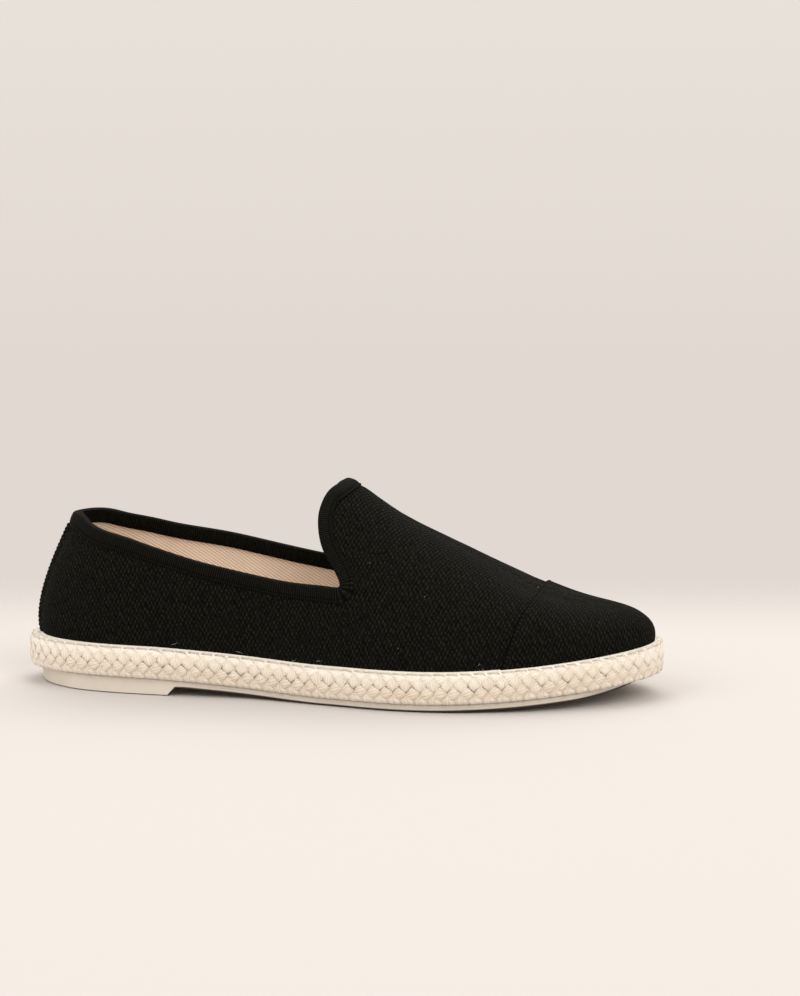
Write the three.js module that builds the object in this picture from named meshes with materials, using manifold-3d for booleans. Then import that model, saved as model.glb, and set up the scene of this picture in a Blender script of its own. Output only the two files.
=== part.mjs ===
// Slip-on espadrille for the right foot: a canvas upper whose vamp rises into a tongue, a toe cap,
// a heel strip and a ribbed tape round the collar, on a braided sole with a thin moulded outsole.
// Millimetres. +X runs from heel to toe, +Y to the inner side of the foot, +Z up, floor at Z = 0.
import * as THREE from "three";
import { mergeVertices } from "three/addons/utils/BufferGeometryUtils.js";
import Module from "manifold-3d";

const wasm = await Module();
wasm.setup();

// Sole. Its length and width are measured over the braid.
const SOLE_LENGTH = 288;
const SOLE_WIDTH = 103;
const BRAID_HEIGHT = 13.4;
const STRAND_PITCH = 5.9;
const STRAND_RELIEF = 0.9;
const PLAIT_STRANDS = 5;
const OUTSOLE_THICKNESS = 3.5;
const OUTSOLE_INSET = 3;
const OUTSOLE_BEVEL = 0.7;
const HEEL_LIFT = 4;
const HEEL_BLOCK_LENGTH = 72;
const HEEL_BREAST_SLANT = 3.5;
const TOE_SPRING = 7.4;
const INSOLE_THICKNESS = 3;

// Upper. Heights are above the feather line, where canvas meets braid.
const HEEL_LEDGE = 6.2;
const SIDE_LEDGE = 4.6;
const TOE_LEDGE = 5.4;
const LEDGE_TAPER = 40;
const CANVAS_WALL = 1.8;
const INSTEP_HEIGHT = 80;
const COLLAR_HEIGHT = 54;
const THROAT_HEIGHT = 32.6;
const TONGUE_HEIGHT = 75.6;
const TAPE_WIDTH = 6.6;
const TAPE_THICKNESS = 0.9;
const CAP_THICKNESS = 0.8;
const HEEL_STRIP_WIDTH = 13;
const HEEL_STRIP_THICKNESS = 0.9;

// Space left between pieces that meet.
const GAP = 0.3;

// Edge of the sole seen from above. lateral and medial are measured from the line through the
// middle of the heel, as shares of SOLE_WIDTH, and along is a share of SOLE_LENGTH.
const SOLE_OUTLINE = [
  { along: 0.0, lateral: 0.0, medial: 0.0 },
  { along: 0.02, lateral: 0.153, medial: 0.147 },
  { along: 0.07, lateral: 0.26, medial: 0.255 },
  { along: 0.15, lateral: 0.331, medial: 0.31 },
  { along: 0.26, lateral: 0.363, medial: 0.312 },
  { along: 0.38, lateral: 0.375, medial: 0.305 },
  { along: 0.5, lateral: 0.45, medial: 0.345 },
  { along: 0.6, lateral: 0.512, medial: 0.41 },
  { along: 0.7, lateral: 0.514, medial: 0.462 },
  { along: 0.8, lateral: 0.45, medial: 0.474 },
  { along: 0.88, lateral: 0.344, medial: 0.43 },
  { along: 0.945, lateral: 0.22, medial: 0.33 },
  { along: 0.985, lateral: 0.092, medial: 0.2 },
  { along: 1.0, lateral: -0.048, medial: 0.048 },
];
const STATIONS_PER_ROW = 2;
const EDGE_SAMPLES = 1000;

// Where the outsole leaves the floor, as shares of SOLE_LENGTH.
const WAIST_START = 0.2;
const WAIST_END = 0.5;
const SPRING_START = 0.62;
const SPRING_POWER = 1.9;
const ARCH_STEPS = 16;

// Side of the braid from its bottom edge to the feather line, as shares of BRAID_HEIGHT. A row of
// strands lies between each two levels, and lean says which way it slants: 1 forwards, -1 back.
const BRAID_LEVELS = [
  { inward: 0.1, up: 0.0, lean: -1 },
  { inward: 0.015, up: 0.25, lean: 1 },
  { inward: 0.0, up: 0.5, lean: -1 },
  { inward: 0.015, up: 0.75, lean: 1 },
  { inward: 0.08, up: 0.96, lean: 1 },
  { inward: 0.24, up: 1.0, lean: 0 },
];
// A strand is proud of the side between these shares of the way up its row.
const CREST_START = 0.25;
const CREST_END = 0.75;

// Sections of the upper from the back of the heel (0) to the tip of the toe (1). Each is one curve
// from the feather line up to the ridge. crown is its height as a share of INSTEP_HEIGHT. bulge
// and shoulder place its two handles as shares of the way in, rise and drop of the way up.
const UPPER_SECTIONS = [
  { along: 0.0, crown: 1.25, bulge: -0.15, rise: 0.2, shoulder: 0.5, drop: 0.48 },
  { along: 0.1, crown: 1.25, bulge: -0.12, rise: 0.26, shoulder: 0.24, drop: 0.3 },
  { along: 0.22, crown: 1.22, bulge: -0.1, rise: 0.3, shoulder: 0.13, drop: 0.2 },
  { along: 0.37, crown: 1.11, bulge: -0.06, rise: 0.32, shoulder: 0.2, drop: 0.1 },
  { along: 0.5, crown: 0.935, bulge: -0.02, rise: 0.38, shoulder: 0.33, drop: 0.0 },
  { along: 0.6, crown: 0.765, bulge: 0.0, rise: 0.42, shoulder: 0.35, drop: 0.0 },
  { along: 0.7, crown: 0.61, bulge: 0.0, rise: 0.45, shoulder: 0.33, drop: 0.0 },
  { along: 0.8, crown: 0.46, bulge: -0.01, rise: 0.5, shoulder: 0.28, drop: 0.0 },
  { along: 0.9, crown: 0.3, bulge: -0.02, rise: 0.58, shoulder: 0.22, drop: 0.02 },
  { along: 1.0, crown: 0.228, bulge: -0.06, rise: 0.6, shoulder: 0.18, drop: 0.17 },
];
const SECTION_STEPS = 12;
// How far inside the feather line the ridge ends, and how far it lies towards the inner side.
const HEEL_RIDGE_DEPTH = 34;
const TOE_RIDGE_DEPTH = 26;
const RIDGE_SHIFT = 3;

// Edge of the canvas round the opening, seen from the outer side, in two tables. The first is the
// top line from the back of the heel to the throat corner: toThroat is a share of the way forward
// and fall of the way down. medial is how much higher the inner side is, as a share of that fall.
const TOP_LINE = [
  { toThroat: -0.3, fall: 0.0, medial: 0 },
  { toThroat: 0.13, fall: 0.0, medial: 0 },
  { toThroat: 0.18, fall: 0.02, medial: 0.02 },
  { toThroat: 0.22, fall: 0.13, medial: 0.09 },
  { toThroat: 0.27, fall: 0.21, medial: 0.07 },
  { toThroat: 0.34, fall: 0.29, medial: 0.06 },
  { toThroat: 0.42, fall: 0.42, medial: 0.09 },
  { toThroat: 0.6, fall: 0.7, medial: 0.22 },
  { toThroat: 0.81, fall: 0.95, medial: 0.2 },
  { toThroat: 0.92, fall: 1.0, medial: 0.1 },
];
// The second is the edge of the vamp from the throat corner to the tip of the tongue: climb is a
// share of the way up and back of TONGUE_SWEEP.
const VAMP_EDGE = [
  { climb: 0.0, back: 0.12 },
  { climb: 0.08, back: 0.0 },
  { climb: 0.22, back: 0.25 },
  { climb: 0.4, back: 0.7 },
  { climb: 0.58, back: 0.93 },
  { climb: 0.75, back: 0.93 },
  { climb: 0.91, back: 0.66 },
  { climb: 1.0, back: 0.33 },
  { climb: 1.4, back: -1.5 },
];
const THROAT_ALONG = 0.524;
const TONGUE_SWEEP = 12;
const COLLAR_STEPS = 44;

// Back edge of the toe cap seen from the side: up is a share of CAP_HEIGHT.
const CAP_SEAM = [
  { along: 0.755, up: -0.4 },
  { along: 0.77, up: 0.0 },
  { along: 0.781, up: 0.3 },
  { along: 0.791, up: 0.6 },
  { along: 0.801, up: 0.8 },
  { along: 0.813, up: 0.93 },
  { along: 0.828, up: 1.0 },
  { along: 0.86, up: 1.4 },
];
const CAP_HEIGHT = 30;
const CAP_STEPS = 24;

const HALF_LENGTH = SOLE_LENGTH / 2;
const STATIONS = (SOLE_OUTLINE.length - 1) * STATIONS_PER_ROW;
// Farther out than any point of the shoe.
const FAR = SOLE_LENGTH;
// Half the width of the strip in which cuts across the shoe pass from one side's height to the
// other's.
const MIDDLE = 10;

const CANVAS_BLACK = new THREE.MeshStandardMaterial({ color: 0x17160f, roughness: 0.95, metalness: 0 });
const TAPE_BLACK = new THREE.MeshStandardMaterial({ color: 0x20231f, roughness: 0.8, metalness: 0 });
const JUTE_CREAM = new THREE.MeshStandardMaterial({ color: 0xe6d8c0, roughness: 0.9, metalness: 0 });
const RUBBER_WHITE = new THREE.MeshStandardMaterial({ color: 0xd6cfc2, roughness: 0.6, metalness: 0 });
const TWILL_BEIGE = new THREE.MeshStandardMaterial({ color: 0xd8bfa2, roughness: 0.9, metalness: 0 });

// Value of a column between the rows of UPPER_SECTIONS, on a smooth curve through them.
function sectionValue(along, column) {
  const rows = UPPER_SECTIONS;
  let i = 0;
  while (i < rows.length - 2 && along > rows[i + 1].along) i += 1;
  const slopeAt = (k) => {
    const before = rows[Math.max(k - 1, 0)];
    const after = rows[Math.min(k + 1, rows.length - 1)];
    return (after[column] - before[column]) / (after.along - before.along);
  };
  const span = rows[i + 1].along - rows[i].along;
  const t = THREE.MathUtils.clamp((along - rows[i].along) / span, 0, 1);
  const [p, q] = [rows[i][column], rows[i + 1][column]];
  const [m, n] = [slopeAt(i) * span, slopeAt(i + 1) * span];
  return p + t * (m + t * (3 * (q - p) - 2 * m - n + t * (2 * (p - q) + m + n)));
}

// Closed curve of the braid's outer edge, scaled so that it measures SOLE_LENGTH by SOLE_WIDTH
// and is centred on the origin. It starts at the heel and runs up the lateral side.
function soleEdge() {
  const lateral = SOLE_OUTLINE.map((row) => [row.along, -row.lateral]);
  const medial = SOLE_OUTLINE.slice(1, -1).map((row) => [row.along, row.medial]);
  const points = [...lateral, ...medial.reverse()].map(
    ([along, across]) => new THREE.Vector3(along * SOLE_LENGTH, across * SOLE_WIDTH, 0),
  );
  const rough = new THREE.CatmullRomCurve3(points, true, "catmullrom");
  const box = new THREE.Box3().setFromPoints(rough.getPoints(EDGE_SAMPLES));
  const middle = box.getCenter(new THREE.Vector3());
  const size = box.getSize(new THREE.Vector3());
  const scale = new THREE.Vector3(SOLE_LENGTH / size.x, SOLE_WIDTH / size.y, 1);
  const fitted = points.map((point) => point.sub(middle).multiply(scale));
  const edge = new THREE.CatmullRomCurve3(fitted, true, "catmullrom");
  edge.arcLengthDivisions = 2 * EDGE_SAMPLES;
  return edge;
}

const EDGE = soleEdge();

// Point at parameter t of the sole's edge, moved inwards.
function edgePoint(t, inset) {
  const turn = ((t % 1) + 1) % 1;
  const point = EDGE.getPoint(turn);
  const tangent = EDGE.getTangent(turn);
  return new THREE.Vector3(point.x - tangent.y * inset, point.y + tangent.x * inset, 0);
}

// Point of the feather line, whose ledge is wider at the heel and at the toe than at the sides.
function featherPoint(t, inset = 0) {
  const { x } = edgePoint(t, 0);
  const fromHeel = THREE.MathUtils.smoothstep(x + HALF_LENGTH, 0, LEDGE_TAPER);
  const fromToe = THREE.MathUtils.smoothstep(HALF_LENGTH - x, 0, LEDGE_TAPER);
  const heel = THREE.MathUtils.lerp(HEEL_LEDGE - SIDE_LEDGE, 0, fromHeel);
  const toe = THREE.MathUtils.lerp(TOE_LEDGE - SIDE_LEDGE, 0, fromToe);
  return edgePoint(t, SIDE_LEDGE + heel + toe + inset);
}

// One loop of points round the sole: up the lateral side, then back down the medial side.
function stationLoop(place) {
  return Array.from({ length: 2 * STATIONS }, (_, i) => place(i / (2 * STATIONS), i));
}

// Height of the underside of the outsole sheet: held up by the heel, down to the floor under the
// ball of the foot, then up with the toe spring.
function rise(x) {
  const along = (x + HALF_LENGTH) / SOLE_LENGTH;
  const waist = THREE.MathUtils.smoothstep(along, WAIST_START, WAIST_END);
  const toe = Math.max(0, (along - SPRING_START) / (1 - SPRING_START));
  return HEEL_LIFT * (1 - waist) + TOE_SPRING * toe ** SPRING_POWER;
}
const outsoleTop = (x) => rise(x) + OUTSOLE_THICKNESS;
const braidBottom = (x) => outsoleTop(x) + GAP;
const braidTop = (x) => braidBottom(x) + BRAID_HEIGHT;
const featherHeight = (x) => braidTop(x) + GAP;

// Closed solid from a geometry that holds positions alone.
function solidFrom(geometry) {
  const merged = mergeVertices(geometry, 1e-4);
  return new wasm.Manifold(
    new wasm.Mesh({
      numProp: 3,
      vertProperties: merged.attributes.position.array,
      triVerts: new Uint32Array(merged.index.array),
    }),
  );
}

// Closed solid from its triangles, each a list of three points.
function solid(triangles) {
  const geometry = new THREE.BufferGeometry();
  const positions = triangles.flat().flatMap((point) => [point.x, point.y, point.z]);
  geometry.setAttribute("position", new THREE.Float32BufferAttribute(positions, 3));
  return solidFrom(geometry);
}

// Faces that close a loop, in a strip from one side of the shoe to the other.
function lidFaces(ring, up) {
  const faces = [];
  let left = 0;
  let right = ring.length - 1;
  while (right - left > 1) {
    faces.push([ring[left], ring[left + 1], ring[right]]);
    left += 1;
    if (right - left > 1) {
      faces.push([ring[left], ring[right - 1], ring[right]]);
      right -= 1;
    }
  }
  return up ? faces : faces.map((face) => face.reverse());
}

// Faces between neighbouring loops, the lower loop first.
function wallFaces(rings) {
  const faces = [];
  for (let k = 0; k + 1 < rings.length; k += 1) {
    const [low, high] = [rings[k], rings[k + 1]];
    low.forEach((point, i) => {
      const j = (i + 1) % low.length;
      faces.push([point, low[j], high[j]], [point, high[j], high[i]]);
    });
  }
  return faces;
}

// A slab inside the sole's edge or the feather line. Each level has an inset from that line, and
// its height at each x.
function slab(levels, line = edgePoint) {
  const rings = levels.map(({ inset, height }) =>
    stationLoop((t) => {
      const point = line(t, inset);
      return point.setZ(height(point.x));
    }),
  );
  return solid([...lidFaces(rings[0], false), ...wallFaces(rings), ...lidFaces(rings.at(-1), true)]);
}

// Solid across the whole shoe from a closed outline seen from the side. The outline's points hold
// x and z on the lateral side, and in y how much higher the medial side of the shoe is.
function sidePrism(outline) {
  const flat = outline.map((point) => new THREE.Vector2(point.x, point.z));
  const turned = THREE.ShapeUtils.isClockWise(flat);
  const points = turned ? [...outline].reverse() : outline;
  const contour = turned ? flat.reverse() : flat;
  const slice = (y, share) =>
    points.map((point) => new THREE.Vector3(point.x, y, point.z + point.y * share));
  const slices = [slice(FAR, 1), slice(MIDDLE, 1), slice(-MIDDLE, 0), slice(-FAR, 0)];
  const lids = THREE.ShapeUtils.triangulateShape(contour, []).flatMap(([a, b, c]) => [
    [a, b, c].map((i) => slices[3][i]),
    [c, b, a].map((i) => slices[0][i]),
  ]);
  return solid([...lids, ...wallFaces(slices)]);
}

// Moulded outsole: a thin sheet in one piece with its heel block, whose breast is slanted.
function outsole() {
  const springX = SPRING_START * SOLE_LENGTH - HALF_LENGTH;
  const waistX = WAIST_END * SOLE_LENGTH - HALF_LENGTH;
  const breastX = HEEL_BLOCK_LENGTH + OUTSOLE_INSET - HALF_LENGTH;
  const under = (x) => (x > springX ? rise(x) : 0);
  const block = slab([
    { inset: OUTSOLE_INSET + OUTSOLE_BEVEL, height: under },
    { inset: OUTSOLE_INSET, height: (x) => under(x) + OUTSOLE_BEVEL },
    { inset: OUTSOLE_INSET, height: outsoleTop },
  ]);
  const arch = Array.from({ length: ARCH_STEPS + 1 }, (_, i) => {
    const x = THREE.MathUtils.lerp(breastX, waistX, i / ARCH_STEPS);
    return new THREE.Vector3(x, 0, rise(x));
  });
  const heelFoot = new THREE.Vector3(breastX - HEEL_BREAST_SLANT, 0, 0);
  const below = [new THREE.Vector3(waistX, 0, -FAR), heelFoot.clone().setZ(-FAR)];
  return block.subtract(sidePrism([heelFoot, ...arch, ...below]));
}

// Braided sole: a slab whose side is a flat plait, each strand a raised lozenge between two levels.
function braidedSole() {
  const count = PLAIT_STRANDS * Math.round(EDGE.getLength() / STRAND_PITCH / PLAIT_STRANDS);
  const shift = [0];
  BRAID_LEVELS.slice(0, -1).forEach((level) => shift.push(shift.at(-1) + level.lean / 2));
  // Point j strands along, at a level that may lie between two rows, raised off the side.
  const place = (j, level, raised) => {
    const k = Math.min(Math.floor(level), BRAID_LEVELS.length - 2);
    const [low, high] = [BRAID_LEVELS[k], BRAID_LEVELS[k + 1]];
    const inward = THREE.MathUtils.lerp(low.inward, high.inward, level - k) * BRAID_HEIGHT;
    const up = THREE.MathUtils.lerp(low.up, high.up, level - k) * BRAID_HEIGHT;
    const slope = new THREE.Vector2(high.up - low.up, high.inward - low.inward).normalize();
    const t = EDGE.getUtoTmapping((((j / count) % 1) + 1) % 1);
    const point = edgePoint(t, STRAND_RELIEF + inward - slope.x * raised);
    return point.setZ(braidBottom(point.x) + up + slope.y * raised);
  };
  const rings = BRAID_LEVELS.map((_, k) =>
    Array.from({ length: count }, (__, j) => place(j + shift[k], k, 0)),
  );
  const faces = [...lidFaces(rings[0], false), ...lidFaces(rings.at(-1), true)];
  for (let k = 0; k + 1 < BRAID_LEVELS.length; k += 1) {
    const crest = (share, j) => {
      const middle = j + 0.5 + THREE.MathUtils.lerp(shift[k], shift[k + 1], share);
      return place(middle, k + share, STRAND_RELIEF);
    };
    for (let j = 0; j < count; j += 1) {
      const next = (j + 1) % count;
      const [a, b, c, d] = [rings[k][j], rings[k][next], rings[k + 1][next], rings[k + 1][j]];
      const [low, high] = [crest(CREST_START, j), crest(CREST_END, j)];
      faces.push([a, b, low], [b, high, low], [b, c, high], [c, d, high], [d, low, high], [d, a, low]);
    }
  }
  return solid(faces);
}

// Insole board and sock, flat on the braided sole inside the upper.
function insole() {
  const inset = CANVAS_WALL + GAP;
  const board = [
    { inset, height: featherHeight },
    { inset, height: (x) => featherHeight(x) + INSOLE_THICKNESS },
  ];
  return slab(board, featherPoint);
}

// Surface of the last that the upper is drawn over: a grid of points from the feather line up to
// the ridge, a column for each station round the sole, with the direction that faces out of each.
function lastSurface() {
  const heelX = featherPoint(0).x;
  const toeX = featherPoint(0.5).x;
  const around = 2 * STATIONS;
  const columns = stationLoop((t, i) => {
    const foot = featherPoint(t);
    const half = Math.min(i, around - i) / around;
    const [outer, inner] = [featherPoint(half), featherPoint(1 - half)];
    const along = ((outer.x + inner.x) / 2 - heelX) / (toeX - heelX);
    const crown = new THREE.Vector3(
      THREE.MathUtils.lerp(heelX + HEEL_RIDGE_DEPTH, toeX - TOE_RIDGE_DEPTH, along),
      (outer.y + inner.y) / 2 + RIDGE_SHIFT * Math.sin(along * Math.PI),
      0,
    );
    foot.z = featherHeight(foot.x);
    crown.z = featherHeight(crown.x) + sectionValue(along, "crown") * INSTEP_HEIGHT;
    const handle = (inwards, upwards) => {
      const point = foot.clone().lerp(crown, inwards);
      return point.setZ(THREE.MathUtils.lerp(foot.z, crown.z, upwards));
    };
    const lower = handle(sectionValue(along, "bulge"), sectionValue(along, "rise"));
    const upper = handle(sectionValue(along, "shoulder"), 1 - sectionValue(along, "drop"));
    return new THREE.CubicBezierCurve3(foot, lower, upper, crown).getPoints(SECTION_STEPS);
  });
  return columns.map((column, i) =>
    column.map((point, k) => {
      const ridgeEnd = k === SECTION_STEPS && i % STATIONS === 0;
      const row = ridgeEnd ? k - 1 : k;
      const forward = columns[(i + 1) % around][row].clone().sub(columns[(i + around - 1) % around][row]);
      const below = column[Math.max(k - 1, 0)];
      const across = columns[(around - i) % around][k - 1];
      const above = k < SECTION_STEPS ? column[k + 1] : ridgeEnd ? point : across;
      const out = forward.cross(above.clone().sub(below));
      if (k === 0) out.setZ(0);
      return { point, out: out.normalize() };
    }),
  );
}

const LAST = lastSurface();

// The last as a closed solid, grown outwards by an offset, its underside dropped where asked.
function lastForm(offset, dropped = 0) {
  const rings = Array.from({ length: SECTION_STEPS + 1 }, (_, k) =>
    LAST.map((column, i) => {
      const twin = k === SECTION_STEPS ? LAST[Math.min(i, 2 * STATIONS - i)] : column;
      const { point, out } = twin[k];
      return point.clone().addScaledVector(out, offset);
    }),
  );
  const under = rings[0].map((point) => point.clone().setZ(featherHeight(point.x) - dropped));
  const stack = dropped > 0 ? [under, ...rings] : rings;
  return solid([...lidFaces(stack[0], false), ...wallFaces(stack)]);
}

// Everything above the edge of the opening, with that edge moved by an offset out of the canvas.
function collarSpace(offset) {
  const throatX = THROAT_ALONG * SOLE_LENGTH - HALF_LENGTH;
  const heelZ = featherHeight(-HALF_LENGTH) + COLLAR_HEIGHT;
  const throatZ = featherHeight(throatX) + THROAT_HEIGHT;
  const tongueZ = featherHeight(throatX) + TONGUE_HEIGHT;
  const fall = heelZ - throatZ;
  const top = TOP_LINE.map((row) => {
    const x = THREE.MathUtils.lerp(-HALF_LENGTH, throatX, row.toThroat);
    return new THREE.Vector3(x, row.medial * fall, heelZ - row.fall * fall);
  });
  const vamp = VAMP_EDGE.map((row) => {
    const z = THREE.MathUtils.lerp(throatZ, tongueZ, row.climb);
    return new THREE.Vector3(throatX - row.back * TONGUE_SWEEP, 0, z);
  });
  const line = new THREE.CatmullRomCurve3([...top, ...vamp], false, "centripetal");
  const edge = Array.from({ length: COLLAR_STEPS + 1 }, (_, i) => {
    const tangent = line.getTangent(i / COLLAR_STEPS).setY(0).normalize();
    const outwards = new THREE.Vector3(-tangent.z, 0, tangent.x);
    return line.getPoint(i / COLLAR_STEPS).addScaledVector(outwards, offset);
  });
  const high = new THREE.Vector3(edge.at(-1).x, 0, FAR);
  const back = [new THREE.Vector3(-FAR, 0, FAR), new THREE.Vector3(-FAR, 0, edge[0].z)];
  return sidePrism([...edge, high, ...back]);
}

// Canvas upper: the space between two lasts, open underneath and at the collar.
function upper() {
  const hollow = lastForm(-CANVAS_WALL, CANVAS_WALL);
  return lastForm(0).subtract(hollow).subtract(collarSpace(0));
}

// Ribbed tape folded over the edge of the opening, on both faces of the canvas.
function collarBinding() {
  const clear = GAP + TAPE_THICKNESS;
  const folded = lastForm(clear).subtract(lastForm(-CANVAS_WALL - clear, clear));
  const slot = lastForm(GAP).subtract(lastForm(-CANVAS_WALL - GAP, GAP)).subtract(collarSpace(GAP));
  const band = collarSpace(clear - TAPE_WIDTH).subtract(collarSpace(clear));
  return folded.intersect(band).subtract(slot);
}

// What lies between the canvas and a skin of a given thickness over it, clear of the braid.
function overlay(thickness) {
  const lift = STRAND_RELIEF + GAP;
  const floor = slab([
    { inset: -lift, height: () => -FAR },
    { inset: -lift, height: (x) => featherHeight(x) + lift },
  ]);
  return lastForm(GAP + thickness).subtract(lastForm(GAP, GAP)).subtract(floor);
}

// Toe cap: a second layer of canvas in front of its curved seam.
function toeCap() {
  const points = CAP_SEAM.map((row) => {
    const x = row.along * SOLE_LENGTH - HALF_LENGTH;
    return new THREE.Vector3(x, 0, featherHeight(x) + row.up * CAP_HEIGHT);
  });
  const seam = new THREE.CatmullRomCurve3(points, false, "centripetal").getPoints(CAP_STEPS);
  const ahead = [new THREE.Vector3(FAR, 0, seam.at(-1).z), new THREE.Vector3(FAR, 0, seam[0].z)];
  return overlay(CAP_THICKNESS).intersect(sidePrism([...seam, ...ahead]));
}

// Strip up the back of the heel, from the braid to the lower edge of the tape.
function heelStrip() {
  const box = new THREE.BoxGeometry(HALF_LENGTH, HEEL_STRIP_WIDTH, FAR);
  box.translate(-HALF_LENGTH, edgePoint(0, 0).y, 0);
  box.deleteAttribute("normal");
  box.deleteAttribute("uv");
  const strip = overlay(HEEL_STRIP_THICKNESS).intersect(solidFrom(box));
  return strip.subtract(collarSpace(TAPE_THICKNESS - TAPE_WIDTH));
}

function piece(name, made, material) {
  const { vertProperties, triVerts } = made.getMesh();
  const geometry = new THREE.BufferGeometry();
  geometry.setAttribute("position", new THREE.BufferAttribute(new Float32Array(vertProperties), 3));
  geometry.setIndex(new THREE.BufferAttribute(new Uint32Array(triVerts), 1));
  geometry.computeVertexNormals();
  const mesh = new THREE.Mesh(geometry, material);
  mesh.name = name;
  return mesh;
}

const shoe = new THREE.Group();
shoe.add(
  piece("outsole", outsole(), RUBBER_WHITE),
  piece("jute_sole", braidedSole(), JUTE_CREAM),
  piece("insole", insole(), TWILL_BEIGE),
  piece("upper", upper(), CANVAS_BLACK),
  piece("toe_cap", toeCap(), CANVAS_BLACK),
  piece("heel_strip", heelStrip(), CANVAS_BLACK),
  piece("collar_binding", collarBinding(), TAPE_BLACK),
);
export default shoe;
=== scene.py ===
"""Dresses the right-foot espadrille: plaited sole, canvas upper, tape, lining and fibres.

Metres. +X runs from heel to toe, +Y to the inner side of the foot, +Z up, floor at Z = 0.
"""
import math

import bmesh
import bpy
import numpy as np
from bpy.props import FloatProperty, FloatVectorProperty, IntProperty, PointerProperty
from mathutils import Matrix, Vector


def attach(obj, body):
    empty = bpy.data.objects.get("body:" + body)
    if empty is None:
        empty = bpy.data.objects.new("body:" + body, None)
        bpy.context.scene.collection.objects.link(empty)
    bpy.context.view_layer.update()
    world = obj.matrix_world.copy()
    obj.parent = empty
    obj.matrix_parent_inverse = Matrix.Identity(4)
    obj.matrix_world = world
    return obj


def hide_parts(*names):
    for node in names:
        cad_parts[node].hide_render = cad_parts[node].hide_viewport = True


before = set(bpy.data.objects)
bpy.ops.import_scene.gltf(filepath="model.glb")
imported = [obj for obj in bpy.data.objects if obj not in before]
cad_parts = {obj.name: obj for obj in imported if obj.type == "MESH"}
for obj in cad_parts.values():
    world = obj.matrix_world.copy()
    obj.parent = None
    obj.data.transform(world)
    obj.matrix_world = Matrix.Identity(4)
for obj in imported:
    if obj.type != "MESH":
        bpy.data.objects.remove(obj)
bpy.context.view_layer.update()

bl_info = {
    "name": "Espadrille dresser",
    "version": (1, 0, 0),
    "blender": (4, 5, 0),
    "location": "3D View > Sidebar > Espadrille",
    "description": "Builds the visible pieces of a canvas espadrille round its solid frame",
    "category": "Object",
}

BODY = "root"

# Edge of the sole seen from above: along is a share of the length, lateral and medial are shares of
# the width, measured from the line through the middle of the heel.
SOLE_OUTLINE = (
    # along, lateral, medial
    (0.0, 0.0, 0.0),
    (0.02, 0.153, 0.147),
    (0.07, 0.26, 0.255),
    (0.15, 0.331, 0.31),
    (0.26, 0.363, 0.312),
    (0.38, 0.375, 0.305),
    (0.5, 0.45, 0.345),
    (0.6, 0.512, 0.41),
    (0.7, 0.514, 0.462),
    (0.8, 0.45, 0.474),
    (0.88, 0.344, 0.43),
    (0.945, 0.22, 0.33),
    (0.985, 0.092, 0.2),
    (1.0, -0.048, 0.048),
)

# Where the outsole leaves the floor, as shares of the length.
WAIST_START = 0.2
WAIST_END = 0.5
SPRING_START = 0.62
SPRING_POWER = 1.9

# How far the side of the plait lies inside the outline, both as shares of its height.
PLAIT_SIDE = (
    # up, inward
    (0.0, 0.1),
    (0.25, 0.015),
    (0.5, 0.0),
    (0.75, 0.015),
    (0.96, 0.08),
    (1.0, 0.24),
)

# Sections of the upper from the back of the heel to the tip of the toe. Each is one curve from the
# feather line up to the ridge.
UPPER_SECTIONS = (
    # along, crown, bulge, rise, shoulder, drop
    (0.0, 1.25, -0.15, 0.2, 0.5, 0.48),
    (0.1, 1.25, -0.12, 0.26, 0.24, 0.3),
    (0.22, 1.22, -0.1, 0.3, 0.13, 0.2),
    (0.37, 1.11, -0.06, 0.32, 0.2, 0.1),
    (0.5, 0.935, -0.02, 0.38, 0.33, 0.0),
    (0.6, 0.765, 0.0, 0.42, 0.35, 0.0),
    (0.7, 0.61, 0.0, 0.45, 0.33, 0.0),
    (0.8, 0.46, -0.01, 0.5, 0.28, 0.0),
    (0.9, 0.3, -0.02, 0.58, 0.22, 0.02),
    (1.0, 0.228, -0.06, 0.6, 0.18, 0.17),
)
CROWN, BULGE, RISE, SHOULDER, DROP = 1, 2, 3, 4, 5

# Edge of the canvas from the back of the heel to the throat corner, seen from the outer side.
TOP_LINE = (
    # share of the way to the throat, share of the fall, how much higher the inner side is
    (-0.3, 0.0, 0.0),
    (0.13, 0.0, 0.0),
    (0.18, 0.02, 0.02),
    (0.22, 0.13, 0.09),
    (0.27, 0.21, 0.07),
    (0.34, 0.29, 0.06),
    (0.42, 0.42, 0.09),
    (0.6, 0.7, 0.22),
    (0.81, 0.93, 0.2),
    (0.93, 0.975, 0.1),
)
# Edge of the vamp from the throat corner to the tip of the tongue.
VAMP_EDGE = (
    # share of the climb, share of the sweep back
    (0.015, 0.06),
    (0.07, -0.01),
    (0.22, 0.25),
    (0.4, 0.7),
    (0.58, 0.93),
    (0.76, 0.98),
    (0.925, 0.78),
    (1.0, 0.42),
    (1.4, -1.5),
)
THROAT_ALONG = 0.524

# Back edge of the toe cap seen from the side.
CAP_SEAM = (
    # share of the sole's length, share of the cap's height
    (0.755, -0.4),
    (0.77, 0.0),
    (0.781, 0.3),
    (0.791, 0.6),
    (0.801, 0.8),
    (0.813, 0.93),
    (0.828, 1.0),
    (0.86, 1.4),
)

# Small rises and falls of the ridge, which the cloth shows as it bends over the foot.
RIDGE_TOUCHES = (
    # x, lift
    (-0.01, -0.0026),
    (-0.002, 0.0),
    (0.0015, 0.0004),
    (0.005, 0.0014),
    (0.011, 0.0021),
    (0.018, 0.0015),
    (0.026, 0.001),
    (0.034, 0.001),
    (0.045, 0.0013),
    (0.056, 0.0012),
    (0.072, 0.0),
    (0.083, -0.0008),
    (0.092, -0.0003),
    (0.104, 0.0003),
    (0.122, 0.0009),
    (0.131, 0.0016),
    (0.136, 0.0009),
    (0.142, 0.0),
)

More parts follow.
